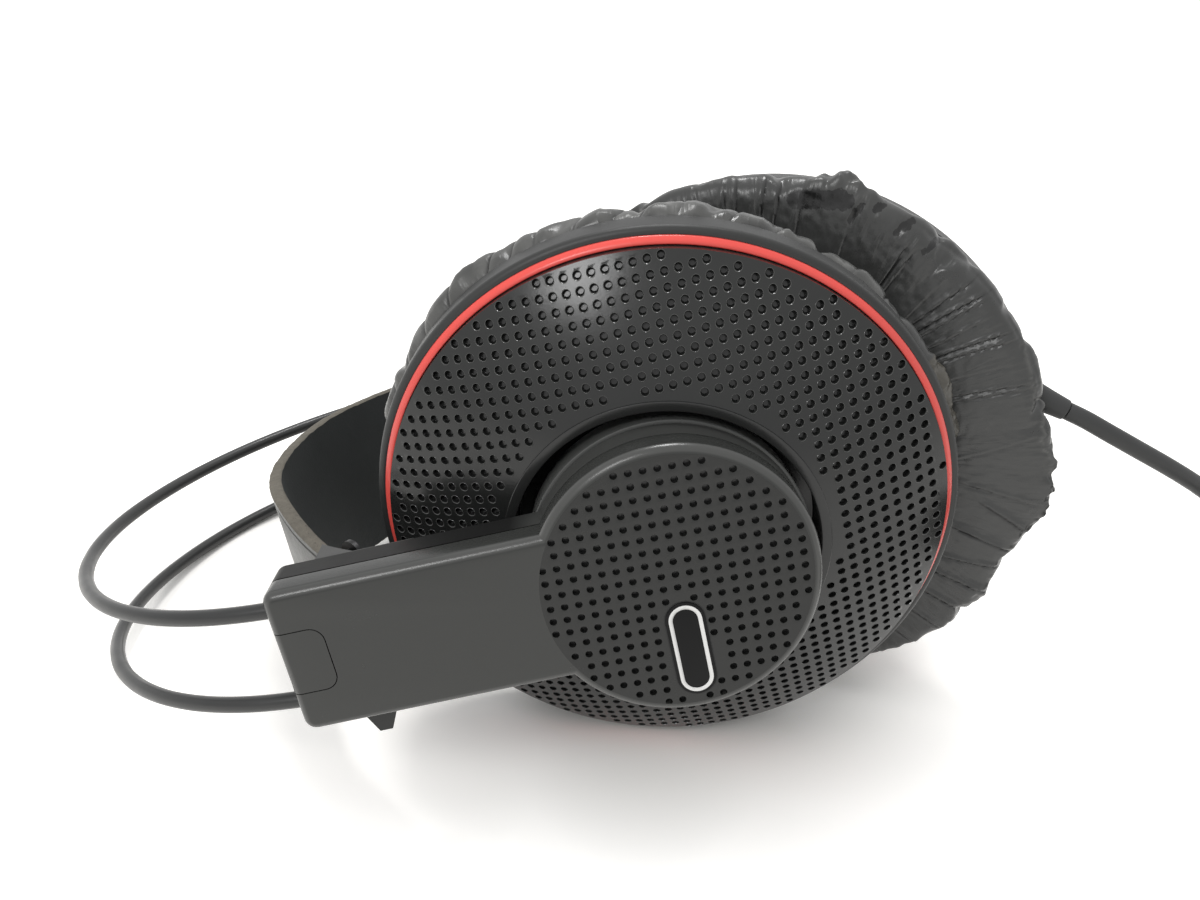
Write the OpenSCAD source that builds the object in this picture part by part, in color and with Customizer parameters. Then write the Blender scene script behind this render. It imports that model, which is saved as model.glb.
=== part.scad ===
// Over-ear headphones lying on a table: two cups on ball joints, a sprung two-wire hoop,
// a self-adjusting strap and a coiled cable. Millimetres, +Z up, table at Z = 0.
// Head frame: X towards the right ear, Y towards the face, Z towards the top of the hoop.

/* [Pose on the table] */
// Downward slope of the hoop towards the table
lie_pitch = 18.4; // [10:0.1:25]
// Sideways lean of the whole set
lie_roll = 7.1; // [-10:0.1:12]
// Turn of the set about the vertical
lie_yaw = 8.7; // [-20:0.1:20]
// Tilt of the right cup on its ball about the cross pin
right_toe = -6; // [-10:0.1:6]
// Tilt of the right cup on its ball about the arm
right_tilt = -7.4; // [-10:0.1:10]
// Tilt of the left cup on its ball about the cross pin
left_toe = -12; // [-13:0.1:6]
// Tilt of the left cup on its ball about the arm
left_tilt = 0.7; // [-10:0.1:10]
// Height that the sprung hoop lets the left side hang lower than the right
rack = 14; // [0:0.5:20]

/* [Ear cup] */
// Outer radius of the red trim ring
ring_r = 49; // [46:0.5:52]
// Radial width of the red trim ring
ring_w = 1.25; // [1:0.05:2]
// Height of the ring's inner edge above its outer edge
ring_rise = 1.4; // [1:0.1:2]
// Depth of the ring below its outer edge
ring_depth = 1.4; // [1:0.1:2]
// Outer radius of the raised lip round the dish
lip_r = 26.9; // [25.5:0.1:28]
// Height of the lip above the ring
lip_h = 11.6; // [10:0.1:13]
// Radial thickness of the lip
lip_w = 1.7; // [1.2:0.1:2]
// How far the lip stands above the dome
lip_rise = 0.4; // [0.2:0.1:1]
// Wall of the dome cover
dome_wall = 1.8; // [1.2:0.1:2.4]
// Distance between the main pits of the dome
pit_pitch = 4.4; // [4.4:0.1:8]
// Width of a pit
pit_w = 1.2; // [1:0.1:1.6]
// Depth of a pit
pit_depth = 0.8; // [0.4:0.1:1]
// Height of the dish floor above the ring
dish_h = 5.4; // [4.5:0.1:6]
// How far the shell stands out beyond the trim ring
rim_step = 1.4; // [0.5:0.1:2]
// Depth of the cup shell behind the ring's seat
shell_depth = 5.6; // [5:0.1:8]
// Wall of the cup shell
shell_wall = 4; // [3:0.1:5]
// Width of the screw ledge inside the shell
ledge_w = 8; // [6:0.5:10]
// Thickness of the screw ledge
ledge_t = 1.5; // [1:0.1:2]
// Thickness of the baffle plate
baffle_t = 1.6; // [1.2:0.1:2]

/* [Ear cushion] */
// How far the cushion stands out beyond the shell
cushion_over = 0.8; // [0:0.1:3]
// Radius of the ear opening
cushion_bore_r = 24; // [23:0.5:30]
// Thickness of the cushion
cushion_t = 7.5; // [6:0.1:9]
// Number of gathered pleats round the cushion
pleats = 24; // [12:1:36]
// Depth of the pleats
pleat_depth = 0.5; // [0:0.05:0.8]

/* [Ball joint] */
// Radius of the pivot ball
ball_r = 5; // [4.5:0.1:5.5]
// Height of the ball's centre above the trim ring
ball_h = 7.2; // [6.8:0.1:8]
// Distance of the ball's centre below the arm's outer face
ball_drop = 18.5; // [18:0.1:20]
// Running clearance of ball and pin
run_gap = 0.08; // [0.05:0.01:0.1]
// Radius of the stud's neck
neck_r = 2.6; // [2.2:0.1:2.8]
// Thickness of the stud's flat tongue
tongue_t = 2.6; // [2:0.1:3]
// Radius of the cross pin
pin_r = 1; // [0.8:0.1:1.2]
// Outer radius of the ball socket
socket_r = 9; // [8:0.1:10]

/* [Driver] */
// Radius of the driver's frame
driver_r = 20; // [18:0.5:22]
// Radius of the magnet pot
magnet_r = 8.8; // [8:0.1:10]
// Mean radius of the voice coil
voice_coil_r = 6.6; // [6:0.1:7]

/* [Arm] */
// Radius of the disc end
disc_r = 22.4; // [21:0.1:23.5]
// Length from the disc's centre to the arm's end
arm_len = 62; // [58:0.5:70]
// Width of the arm
arm_w = 24.6; // [23:0.2:27]
// Thickness of the outer cover
cover_t = 5.2; // [4.5:0.1:6]
// Thickness of the inner cover
back_t = 4.8; // [4:0.1:6]
// Wall of both covers
arm_wall = 1.6; // [1.2:0.1:1.8]
// Height of the collar under the disc
collar_h = 2.6; // [1:0.1:2.6]
// Radius of the arm's corners
corner_r = 2; // [1:0.1:4]
// Outward lean of each arm
arm_lean = 15.4; // [12:0.1:18]
// Distance from the middle plane to a disc's face
half_gap = 46; // [44:0.5:50]
// Length of the pill badge
badge_l = 16.5; // [12:0.1:18]
// Width of the pill badge
badge_w = 6.4; // [5:0.1:8]
// Thickness of the pill badge
badge_t = 0.6; // [0.4:0.1:0.8]
// Distance of the badge from the disc's centre
badge_drop = 11.3; // [10:0.1:12]
// Length of the end insert
insert_l = 8; // [6:0.1:10]
// Width of the end insert
insert_w = 10.5; // [8:0.1:12]

/* [Hoop wires] */
// Diameter of a wire
wire_d = 2.7; // [2:0.1:3]
// Distance between the two wires
wire_gap = 16.4; // [15.5:0.1:17]
// Offset of the wire pair across the arm
wire_shift = -0.9; // [-1:0.1:1]
// Distance from the disc's centre to where the wires start to curve
wire_start = 58; // [55:0.5:62]
// Length of straight wire held inside the arm
wire_grip = 30; // [26:0.5:32]
// Clearance of the wires in the covers
wire_clear = 0.3; // [0.2:0.05:0.5]

/* [Strap] */
// Width of the strap
strap_w = 33; // [28:0.5:36]
// Thickness of the strap
strap_t = 2.4; // [1.5:0.1:3]
// Offset of the strap's middle line from the arm's
strap_shift = -2; // [-4:0.5:0]
// Height of the strap's highest line
strap_top = 89; // [86:0.5:92]
// Offset of that line from the middle plane
strap_top_x = -12; // [-14:0.5:-8]
// Length of the flat left end of the strap
strap_tail = 27; // [24:0.5:28]
// Where a bracket starts along the arm
bracket_z = 40; // [38:0.5:44]
// Length of a bracket
bracket_l = 16; // [14:0.5:18]
// Gap between a bracket and its arm
bracket_gap = 1.6; // [1.5:0.1:2]
// Travel of the strap
strap_travel = 9; // [4:0.5:9]

/* [Cable] */
// Diameter of the cable
cable_d = 3.4; // [3:0.1:4]
// Loops of the stored coil
coil_loops = 18; // [10:1:22]
// Layers of the stored coil
coil_layers = 4; // [2:2:4]
// Mean radius of the stored coil
coil_mid_r = 20.4; // [18:0.1:24]
// Step between turns
coil_step = 4.6; // [4.5:0.1:6]
// Step between layers
coil_rise = 3.95; // [3.9:0.05:5]

/* [Hidden] */
$fn = 96;
eps = 0.01;
seat = 0.1;
right = 1;
left = -1;

// Rotation of a point by turns about X, then Y, then Z
function turn_x(p, a) = [p.x, p.y * cos(a) - p.z * sin(a), p.y * sin(a) + p.z * cos(a)];
function turn_y(p, a) = [p.x * cos(a) + p.z * sin(a), p.y, p.z * cos(a) - p.x * sin(a)];
function turn_z(p, a) = [p.x * cos(a) - p.y * sin(a), p.x * sin(a) + p.y * cos(a), p.z];
function lie(p) = turn_z(turn_y(turn_x([-p.z, -p.x, p.y], -lie_roll), -lie_pitch), -lie_yaw);
function side_flip(p, side) = [side * p.x, p.y, p.z - (side == left ? rack : 0)];
function arm_to_head(p, side) = side_flip(turn_y(p, arm_lean) + [half_gap, 0, 0], side);
function toe(side) = side == right ? right_toe : left_toe;
function tilt(side) = side == right ? right_tilt : left_tilt;
function cup_to_arm(p, side) =
    turn_y(turn_z(turn_y([p.x, p.y, p.z - ball_h], 90), tilt(side)), toe(side)) - [ball_drop, 0, 0];
function cup_to_lying(p, side) = lie(arm_to_head(cup_to_arm(p, side), side));

// Hoop: one arc from each arm, meeting at the top
arm_t = cover_t + back_t;
wire_x = half_gap + wire_start * sin(arm_lean) - cover_t * cos(arm_lean);
wire_z = wire_start * cos(arm_lean) + cover_t * sin(arm_lean);
hoop_sum = 2 * wire_x / cos(arm_lean);
hoop_diff = rack / (1 + sin(arm_lean));
right_hoop_r = (hoop_sum - hoop_diff) / 2;
left_hoop_r = (hoop_sum + hoop_diff) / 2;
hoop_top = [wire_x - right_hoop_r * cos(arm_lean), 0, wire_z + right_hoop_r * (1 + sin(arm_lean))];
hoop_turn = 90 + arm_lean;
upper_y = wire_shift + wire_gap / 2;
lower_y = wire_shift - wire_gap / 2;
function hoop_point(a, y) = a >= 0
    ? [hoop_top.x + right_hoop_r * sin(a), y, hoop_top.z - right_hoop_r * (1 - cos(a))]
    : [hoop_top.x + left_hoop_r * sin(a), y, hoop_top.z - left_hoop_r * (1 - cos(a))];

// Cup heights, measured along the cup's axis from the ring's outer edge
dome_edge_r = ring_r - ring_w - seat;
dome_drop = pow(lip_r, 2) + pow(lip_h, 2) - pow(dome_edge_r, 2) - pow(ring_rise, 2);
dome_c = dome_drop / (2 * (lip_h - ring_rise));
dome_r = sqrt(pow(dome_edge_r, 2) + pow(ring_rise - dome_c, 2));
rim_r = ring_r + rim_step;
shell_top = -ring_depth - seat;
shell_front = shell_top - shell_depth;
shell_bore_r = rim_r - shell_wall;
baffle_back = shell_front + baffle_t;
socket_wall = 1.3;
socket_h = 3.2;
screw_r = 1;
head_r = 1.9;
head_t = 1.2;

// Cushion section: radius and fraction of the thickness, from the bore round to the back
cushion_r = rim_r + cushion_over;
cushion_back_r = rim_r - 0.6;
cushion_inner = [
    [cushion_bore_r + 1.2, 0],
    [cushion_bore_r, 0.3],
    [cushion_bore_r + 0.6, 0.72],
    [cushion_bore_r + 4, 0.93],
    [(cushion_bore_r + cushion_r) / 2, 1],
    [cushion_r - 5, 0.9]
];
cushion_outer = [
    [cushion_r - 1.4, 0.7],
    [cushion_r, 0.45],
    [cushion_r - 0.6, 0.18],
    [cushion_back_r - 0.4, 0.06],
    [cushion_back_r - 1.2, 0]
];
cushion_profile = concat(cushion_inner, cushion_outer);
cushion_steps = pleats * 3;
cushion_rows = len(cushion_profile);
cushion_last = cushion_rows - 1;
edge_gather = 0.4;

// Pleats are deepest half way round the section and fade to its two back edges
function pleat(a) = pleat_depth * (1 + cos(a * pleats)) / 2;
function gather(k) = 1 - (1 - edge_gather) * abs(2 * k / cushion_rows - 1);
function sinks(k) = k > 0 && k < cushion_last;
function draws_in(k) = k >= len(cushion_inner);
function cushion_point(k, a, dip) = let (r = cushion_profile[k][0] - (draws_in(k) ? dip : 0))
    [r * cos(a), r * sin(a), shell_front - cushion_t * cushion_profile[k][1] + (sinks(k) ? dip : 0)];
cushion_points = [for (i = [0:cushion_steps - 1], k = [0:cushion_last])
    let (a = 360 * i / cushion_steps)
        cushion_point(k, a, k == cushion_last ? 0 : gather(k) * pleat(a))];
function grid_faces(rows, steps) = [for (i = [0:steps - 1], k = [0:rows - 1])
    let (a = i * rows + k, b = i * rows + (k + 1) % rows,
        c = ((i + 1) % steps) * rows + (k + 1) % rows, d = ((i + 1) % steps) * rows + k)
        each [[a, b, c], [a, c, d]]];

// Height: the lowest of both cushions and the lower wire touches the table
function low_of(points) = min([for (p = points) p.z]);
right_low = low_of([for (p = cushion_points) cup_to_lying(p, right)]);
left_low = low_of([for (p = cushion_points) cup_to_lying(p, left)]);
wire_low = low_of([for (a = [-90:2:90]) lie(hoop_point(a, lower_y))]) - wire_d / 2;
spot = [29.04, -7.52, 0];
place = spot - [0, 0, min(right_low, left_low, wire_low)];

// Places the head frame on the table
module on_head() {
    translate(place)
        rotate([-lie_roll, -lie_pitch, -lie_yaw])
            rotate([90, 0, -90])
                children();
}

// Arm frame: X out of the disc's face, Y across the arm, Z along it to its end
module on_arm_in_head(side) {
    translate([0, 0, side == left ? -rack : 0])
        mirror([side == left ? 1 : 0, 0, 0])
            translate([half_gap, 0, 0])
                rotate([0, arm_lean, 0])
                    children();
}

module on_arm(side) {
    on_head()
        on_arm_in_head(side)
            children();
}

// Ball frame: centred on the ball, turned about the cross pin
module on_ball(side) {
    on_arm(side)
        translate([-ball_drop, 0, 0])
            rotate([0, toe(side), 0])
                children();
}

// Cup frame: Z out along the cup's axis, zero at the trim ring's outer edge
module on_cup(side) {
    on_ball(side)
        rotate([0, 0, tilt(side)])
            rotate([0, 90, 0])
                translate([0, 0, -ball_h])
                    children();
}

module ring(r_in, r_out, h0, h1) {
    translate([0, 0, h0])
        difference() {
            cylinder(r = r_out, h = h1 - h0);
            translate([0, 0, -eps])
                cylinder(r = r_in, h = h1 - h0 + 2 * eps);
        }
}

module disc(r, h0, h1) {
    translate([0, 0, h0])
        cylinder(r = r, h = h1 - h0);
}

module round_about(count, r) {
    for (i = [0:count - 1])
        rotate([0, 0, 360 * i / count + 30])
            translate([r, 0, 0])
                children();
}

// Screw with its head from z = 0 up and its shank down
module screw(length) {
    cylinder(r = head_r, h = head_t);
    translate([0, 0, -length])
        cylinder(r = screw_r, h = length + eps);
}

// Hoop wires
module wire_arc(r, turn) {
    rotate([90, 0, 0])
        rotate_extrude(angle = turn)
            translate([r, 0])
                circle(d = wire_d, $fn = 32);
}

module wire_stub(side, y) {
    on_arm_in_head(side)
        translate([-cover_t, y, wire_start - wire_grip])
            cylinder(d = wire_d, h = wire_grip, $fn = 32);
}

module hoop_wire(y) {
    translate([hoop_top.x, y, hoop_top.z - right_hoop_r])
        rotate([0, hoop_turn - 90, 0])
            wire_arc(right_hoop_r, hoop_turn);
    translate([hoop_top.x, y, hoop_top.z - left_hoop_r])
        rotate([0, -90, 0])
            wire_arc(left_hoop_r, hoop_turn);
    for (side = [right, left])
        wire_stub(side, y);
}

module upper_wire() {
    color("dimgray")
        on_head()
            hoop_wire(upper_y);
}

module lower_wire() {
    color("dimgray")
        on_head()
            hoop_wire(lower_y);
}

// Arm outline in the disc's plane, drawn with the arm towards -X so that it turns onto +Z
corner_y = arm_w / 2 - corner_r;
module arm_outline(inset) {
    circle(r = disc_r - inset);
    translate([-arm_len + corner_r, inset - arm_w / 2])
        square([arm_len - corner_r, arm_w - 2 * inset]);
    translate([-arm_len + inset, -corner_y])
        square([arm_len, 2 * corner_y]);
    for (y = [-corner_y, corner_y])
        translate([-arm_len + corner_r, y])
            circle(r = corner_r - inset, $fn = 32);
}

module arm_plate(inset, x0, x1) {
    translate([x0, 0, 0])
        rotate([0, 90, 0])
            linear_extrude(x1 - x0)
                arm_outline(inset);
}

module wire_holes() {
    for (y = [upper_y, lower_y])
        translate([-cover_t, y, wire_start - wire_grip])
            cylinder(r = wire_d / 2 + wire_clear, h = wire_grip + arm_len, $fn = 32);
}

// Screws that close the arm and pinch the wire clamp
clamp_z = wire_start - wire_grip;
clamp_l = 9;
disc_screw_z = -13.5;
arm_screw_zs = [clamp_z + clamp_l / 2, disc_screw_z];
module at_arm_screws() {
    for (z = arm_screw_zs)
        translate([-arm_t, 0, z])
            rotate([0, -90, 0])
                children();
}

boss_r = 2.4;
module arm_bosses(x0, x1) {
    for (z = arm_screw_zs)
        translate([x0, 0, z])
            rotate([0, 90, 0])
                cylinder(r = boss_r, h = x1 - x0);
}

module badge_block(clear, depth) {
    translate([-depth, -badge_drop, 0])
        rotate([0, 90, 0])
            linear_extrude(depth) {
                square([badge_w + 2 * clear, badge_l - badge_w], center = true);
                for (y = [-1, 1])
                    translate([0, y * (badge_l - badge_w) / 2])
                        circle(r = badge_w / 2 + clear, $fn = 48);
            }
}

module insert_block(clear) {
    translate([-arm_wall - eps, -insert_w / 2 - clear, arm_len - insert_l - clear])
        cube([arm_wall + 2 * eps, insert_w + 2 * clear, insert_l + 2 * clear]);
}

screw_depth = arm_t - arm_wall;
module screw_bores() {
    at_arm_screws()
        translate([0, 0, -screw_depth])
            cylinder(r = screw_r + seat / 2, h = arm_t);
}

module arm_cover() {
    color([0.25, 0.26, 0.26])
        difference() {
            union() {
                difference() {
                    arm_plate(0, -cover_t, 0);
                    arm_plate(arm_wall, -cover_t - eps, -arm_wall);
                }
                arm_bosses(-cover_t, -arm_wall);
            }
            wire_holes();
            badge_block(seat, badge_t);
            insert_block(seat);
            screw_bores();
        }
}

// Slot for the bracket's tongue, and the peg that holds the lower end of the elastic
catch_w = 10.6;
catch_l = 6;
catch_d = 7.2;
elastic_r = 1;
elastic_y = 4.2;
elastic_lift = 0.6;
elastic_x = -arm_t + arm_wall + elastic_r + elastic_lift;
peg_z = 7.4;
peg_l = 1.5;
module bracket_slot() {
    translate([-arm_t - eps, -catch_w / 2 - wire_clear, bracket_z - 2 * wire_clear])
        cube([arm_wall + 2 * eps, catch_w + 2 * wire_clear, catch_l + strap_travel + 4 * wire_clear]);
}

module elastic_peg() {
    translate([-arm_t + eps, elastic_y - 1.5 * elastic_r, peg_z])
        cube([elastic_x + elastic_r + arm_t, 3 * elastic_r, peg_l]);
}

flange_r = 7;
flange_t = 1.5;
// Collar under the disc, set in a little so that a line shows above it
collar_inset = 0.4;
collar_r = disc_r - collar_inset;
module disc_collar() {
    translate([-arm_t - collar_h, 0, 0])
        rotate([0, 90, 0])
            difference() {
                cylinder(r = collar_r, h = collar_h + eps);
                translate([0, 0, -eps])
                    cylinder(r = collar_r - arm_wall, h = collar_h + eps);
            }
}

module arm_back() {
    color([0.2, 0.2, 0.21])
        difference() {
            union() {
                disc_collar();
                difference() {
                    arm_plate(0, -arm_t, -cover_t);
                    arm_plate(arm_wall, -arm_t + arm_wall, -cover_t + eps);
                }
                arm_bosses(-arm_t, -cover_t);
                elastic_peg();
            }
            wire_holes();
            bracket_slot();
            screw_bores();
            at_arm_screws()
                translate([0, 0, -head_t])
                    cylinder(r = head_r + seat, h = 2 * head_t);
            translate([-arm_t - eps, 0, 0])
                rotate([0, 90, 0])
                    cylinder(r = neck_r + seat, h = arm_t);
        }
}

module arm_screws() {
    color("silver")
        at_arm_screws()
            translate([0, 0, -head_t])
                screw(screw_depth - 2 * head_t);
}

module badge() {
    color("black")
        badge_block(0, badge_t);
}

module end_insert() {
    color([0.22, 0.23, 0.23])
        intersection() {
            translate([-arm_wall, -insert_w / 2, arm_len - insert_l])
                cube([arm_wall, insert_w, insert_l]);
            arm_plate(0, -arm_wall, 0);
        }
}

clamp_w = arm_w - 2 * arm_wall - 2 * seat;
grip_gap = 0.03;
module wire_clamp() {
    color("gray")
        difference() {
            translate([-arm_t + arm_wall + seat, -clamp_w / 2, clamp_z + eps])
                cube([arm_t - 2 * arm_wall - 2 * seat, clamp_w, clamp_l]);
            for (y = [upper_y, lower_y])
                translate([-cover_t, y, clamp_z - 1])
                    cylinder(r = wire_d / 2 + grip_gap, h = clamp_l + 2, $fn = 32);
            translate([elastic_x, elastic_y, clamp_z - 1])
                cylinder(r = elastic_r + wire_clear, h = clamp_l + 2, $fn = 24);
            translate([-arm_t, 0, clamp_z + clamp_l / 2])
                rotate([0, 90, 0])
                    cylinder(r = boss_r + seat, h = arm_t);
        }
}

// Ball joint: stud on the arm, pinned ball, socket in the cup
stud_top = ball_drop - arm_t + arm_wall;
module ball_stud() {
    color("lightgray")
        on_stud()
            difference() {
                union() {
                    translate([0, 0, stud_top])
                        cylinder(r = flange_r, h = flange_t);
                    translate([0, 0, ball_r])
                        cylinder(r = neck_r, h = stud_top - ball_r + eps);
                    intersection() {
                        translate([-neck_r, -tongue_t / 2, -neck_r])
                            cube([2 * neck_r, tongue_t, ball_r + neck_r + eps]);
                        union() {
                            rotate([90, 0, 0])
                                cylinder(r = neck_r, h = tongue_t, center = true);
                            cylinder(r = neck_r, h = ball_r + eps);
                        }
                    }
                }
                rotate([90, 0, 0])
                    cylinder(r = pin_r + run_gap, h = 2 * ball_r, center = true, $fn = 32);
            }
}

module on_stud() {
    translate([-ball_drop, 0, 0])
        rotate([0, 90, 0])
            children();
}

pin_sink = 0.2;
pin_l = 2 * (sqrt(pow(ball_r, 2) - pow(pin_r, 2)) - pin_sink);
module stud_pin() {
    color("silver")
        rotate([90, 0, 0])
            cylinder(r = pin_r, h = pin_l, center = true, $fn = 32);
}

module pivot_ball() {
    color("gainsboro")
        difference() {
            sphere(r = ball_r);
            translate([-neck_r - 2 * run_gap, -tongue_t / 2 - run_gap, -2 * ball_r])
                cube([4 * ball_r, tongue_t + 2 * run_gap, 4 * ball_r]);
            rotate([90, 0, 0])
                cylinder(r = pin_r, h = 4 * ball_r, center = true, $fn = 32);
        }
}

retainer_screw_r = 0.6;
retainer_screw_top = 0.3;
retainer_pcd_r = (socket_r + ball_r + retainer_screw_r) / 2;
module ball_retainer() {
    color([0.15, 0.15, 0.15])
        difference() {
            disc(socket_r, ball_h, ball_h + socket_h);
            translate([0, 0, ball_h])
                sphere(r = ball_r + run_gap);
            round_about(3, retainer_pcd_r)
                disc(retainer_screw_r + seat / 2, 0, 2 * ball_h + socket_h);
        }
}

retainer_screw_l = socket_h + 3;
module retainer_screws() {
    color("silver")
        round_about(3, retainer_pcd_r)
            translate([0, 0, ball_h + socket_h - retainer_screw_l])
                cylinder(r = retainer_screw_r, h = retainer_screw_l + retainer_screw_top, $fn = 24);
}

// Main pits of the dome, on a square grid and moulded along the cup's axis
pit_turn = 1.8;
pit_origin = [0.79, -0.34];
pit_margin = 1.4;
pit_edge = 0.7;
pit_span = ceil(dome_edge_r / pit_pitch);
function pit_at(i, j) = pit_origin
    + pit_pitch * [i * cos(pit_turn) - j * sin(pit_turn), i * sin(pit_turn) + j * cos(pit_turn)];
pit_spots = [for (i = [-pit_span:pit_span], j = [-pit_span:pit_span])
    let (p = pit_at(i, j))
    if (norm(p) > lip_r + pit_margin && norm(p) < dome_edge_r - pit_edge) p
];
module dome_pits() {
    for (p = pit_spots)
        translate([p.x, p.y, dome_c + sqrt(pow(dome_r, 2) - p * p) - pit_depth])
            rotate([0, 0, pit_turn])
                linear_extrude(2 * pit_depth)
                    square(pit_w, center = true);
}

// Cup
skirt_t = 1.8;
module dome_cover() {
    color([0.16, 0.17, 0.17])
        difference() {
            union() {
                intersection() {
                    translate([0, 0, dome_c])
                        difference() {
                            sphere(r = dome_r, $fn = 180);
                            sphere(r = dome_r - dome_wall, $fn = 180);
                        }
                    ring(lip_r - lip_w, dome_edge_r, 0, lip_h + lip_rise);
                }
                ring(dome_edge_r - skirt_t, dome_edge_r, shell_top, ring_rise);
                ring(lip_r - lip_w, lip_r, dish_h - dome_wall, lip_h + lip_rise);
                disc(lip_r - eps, dish_h - dome_wall, dish_h);
                disc(socket_r, ball_h - ball_r - socket_wall, ball_h);
            }
            translate([0, 0, ball_h])
                sphere(r = ball_r + run_gap);
            round_about(3, retainer_pcd_r)
                disc(retainer_screw_r, ball_h + socket_h - retainer_screw_l, 2 * ball_h);
            dome_pits();
        }
}

ring_land = 0.2;
module trim_ring() {
    color("red")
        rotate_extrude()
            polygon([
                [ring_r - ring_w, -ring_depth],
                [ring_r, -ring_depth],
                [ring_r, 0],
                [ring_r - ring_w + ring_land, ring_rise],
                [ring_r - ring_w, ring_rise]
            ]);
}

ledge_r = shell_bore_r - ledge_w;
screw_pcd_r = shell_bore_r - ledge_w / 2;
rim_round = 1.5;
module cup_shell() {
    color([0.18, 0.19, 0.19])
        difference() {
            union() {
                rotate_extrude()
                    difference() {
                        translate([shell_bore_r, shell_front])
                            square([shell_wall, shell_depth]);
                        translate([rim_r - rim_round, shell_top - rim_round])
                            difference() {
                                square(2 * rim_round);
                                circle(r = rim_round, $fn = 32);
                            }
                    }
                ring(ledge_r, shell_bore_r + eps, shell_top - ledge_t, shell_top);
                round_about(3, screw_pcd_r)
                    disc(boss_r, baffle_back, shell_top - ledge_t + eps);
            }
            round_about(3, screw_pcd_r)
                disc(screw_r, shell_front - eps, shell_top + eps);
        }
}

screw_short = 0.2;
module shell_screws() {
    color("silver")
        round_about(3, screw_pcd_r)
            translate([0, 0, shell_front + head_t])
                mirror([0, 0, 1])
                    screw(shell_depth - head_t - screw_short);
}

cone_r = driver_r - 3;
vents = 12;
vent_r = 1.5;
vent_pcd_r = (driver_r + ledge_r) / 2;
module baffle() {
    color([0.12, 0.12, 0.12])
        difference() {
            disc(shell_bore_r - seat, shell_front, baffle_back);
            disc(cone_r, shell_front - eps, baffle_back + eps);
            round_about(vents, vent_pcd_r)
                disc(vent_r, shell_front - eps, baffle_back + eps);
            round_about(3, screw_pcd_r) {
                disc(screw_r + seat / 2, shell_front - eps, baffle_back + eps);
                disc(head_r + seat, shell_front - eps, shell_front + head_t);
            }
        }
}

frame_wall = 2;
frame_h = 3;
frame_floor = 1;
module driver_frame() {
    color("darkslategray") {
        ring(driver_r - frame_wall, driver_r, baffle_back, baffle_back + frame_h);
        ring(magnet_r + grip_gap, driver_r, baffle_back + frame_h - eps, baffle_back + frame_h + frame_floor);
    }
}

membrane_t = 0.3;
magnet_front = baffle_back + 1;
magnet_out = 1.4;
magnet_back = baffle_back + frame_h + frame_floor + magnet_out;
pole_t = 1.6;
coil_free = 0.4;
coil_gap = 0.6;
coil_t = 0.6;
module driver_magnet() {
    color("silver")
        difference() {
            disc(magnet_r, magnet_front, magnet_back);
            ring(voice_coil_r - coil_gap, voice_coil_r + coil_gap, magnet_front - eps, magnet_back - pole_t);
        }
}

bead = 0.5;
module diaphragm() {
    color("lightgray") {
        disc(driver_r - frame_wall - seat, baffle_back + seat, baffle_back + seat + membrane_t);
        ring(voice_coil_r - bead, voice_coil_r + bead, baffle_back - bead, baffle_back + seat + eps);
    }
}

module voice_coil() {
    color("chocolate")
        ring(voice_coil_r - coil_t / 2, voice_coil_r + coil_t / 2,
            baffle_back + seat + membrane_t, magnet_back - pole_t - coil_free);
}

cloth_t = 0.3;
module driver_cloth() {
    color([0.1, 0.1, 0.1])
        disc(cushion_bore_r - 1, shell_front - cloth_t, shell_front);
}

// Cushion: a crowned ring whose sides draw in, gathered into shallow pleats
module ear_cushion() {
    color([0.13, 0.13, 0.13])
        polyhedron(cushion_points, grid_faces(cushion_rows, cushion_steps));
}

// Strap, drawn in the head's X-Z plane and raised along Y
strap_y = strap_shift - strap_w / 2;
strap_end_a = 23;
plate_t = 0.8;
strap_seat = 0.2;
strap_clear = bracket_gap + plate_t + strap_seat;
lean_slope = tan(arm_lean);
arm_inner_x = half_gap - arm_t * (cos(arm_lean) + lean_slope * sin(arm_lean)) - strap_clear;
strap_right_reach = arm_inner_x + lean_slope * strap_top - strap_top_x - strap_t / 2 * cos(strap_end_a);
strap_right_r = strap_right_reach / (cos(strap_end_a) + lean_slope * (1 - sin(strap_end_a)));
strap_left_reach = arm_inner_x + lean_slope * (strap_top - strap_tail + rack) + strap_top_x - strap_t / 2;
strap_left_r = strap_left_reach / (1 + lean_slope);
right_centre = [strap_top_x, strap_top - strap_right_r];
left_centre = [strap_top_x, strap_top - strap_left_r];
left_end_z = left_centre.y - strap_tail;
module in_head_plane(y, w) {
    translate([0, y + w, 0])
        rotate([90, 0, 0])
            linear_extrude(w)
                children();
}

module arc_band(centre, r, t) {
    translate(centre)
        difference() {
            circle(r = r + t / 2, $fn = 180);
            circle(r = r - t / 2, $fn = 180);
        }
}

module strap_outline() {
    intersection() {
        arc_band(right_centre, strap_right_r, strap_t);
        translate(right_centre)
            polygon([
                [0, 0],
                2 * strap_right_r * [cos(strap_end_a), sin(strap_end_a)],
                2 * strap_right_r * [1, 1],
                2 * strap_right_r * [0, 1]
            ]);
    }
    intersection() {
        arc_band(left_centre, strap_left_r, strap_t);
        translate(left_centre - [2 * strap_left_r, 0])
            square([2 * strap_left_r, 2 * strap_left_r]);
    }
    translate(left_centre + [-strap_left_r - strap_t / 2, -strap_tail])
        square([strap_t, strap_tail]);
}

rivet_r = 1.5;
rivet_head_r = 2.8;
rivet_head_t = 0.8;
rivet_spread = 10;
rivet_inset = 5;
soft_gap = 0.3;
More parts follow.
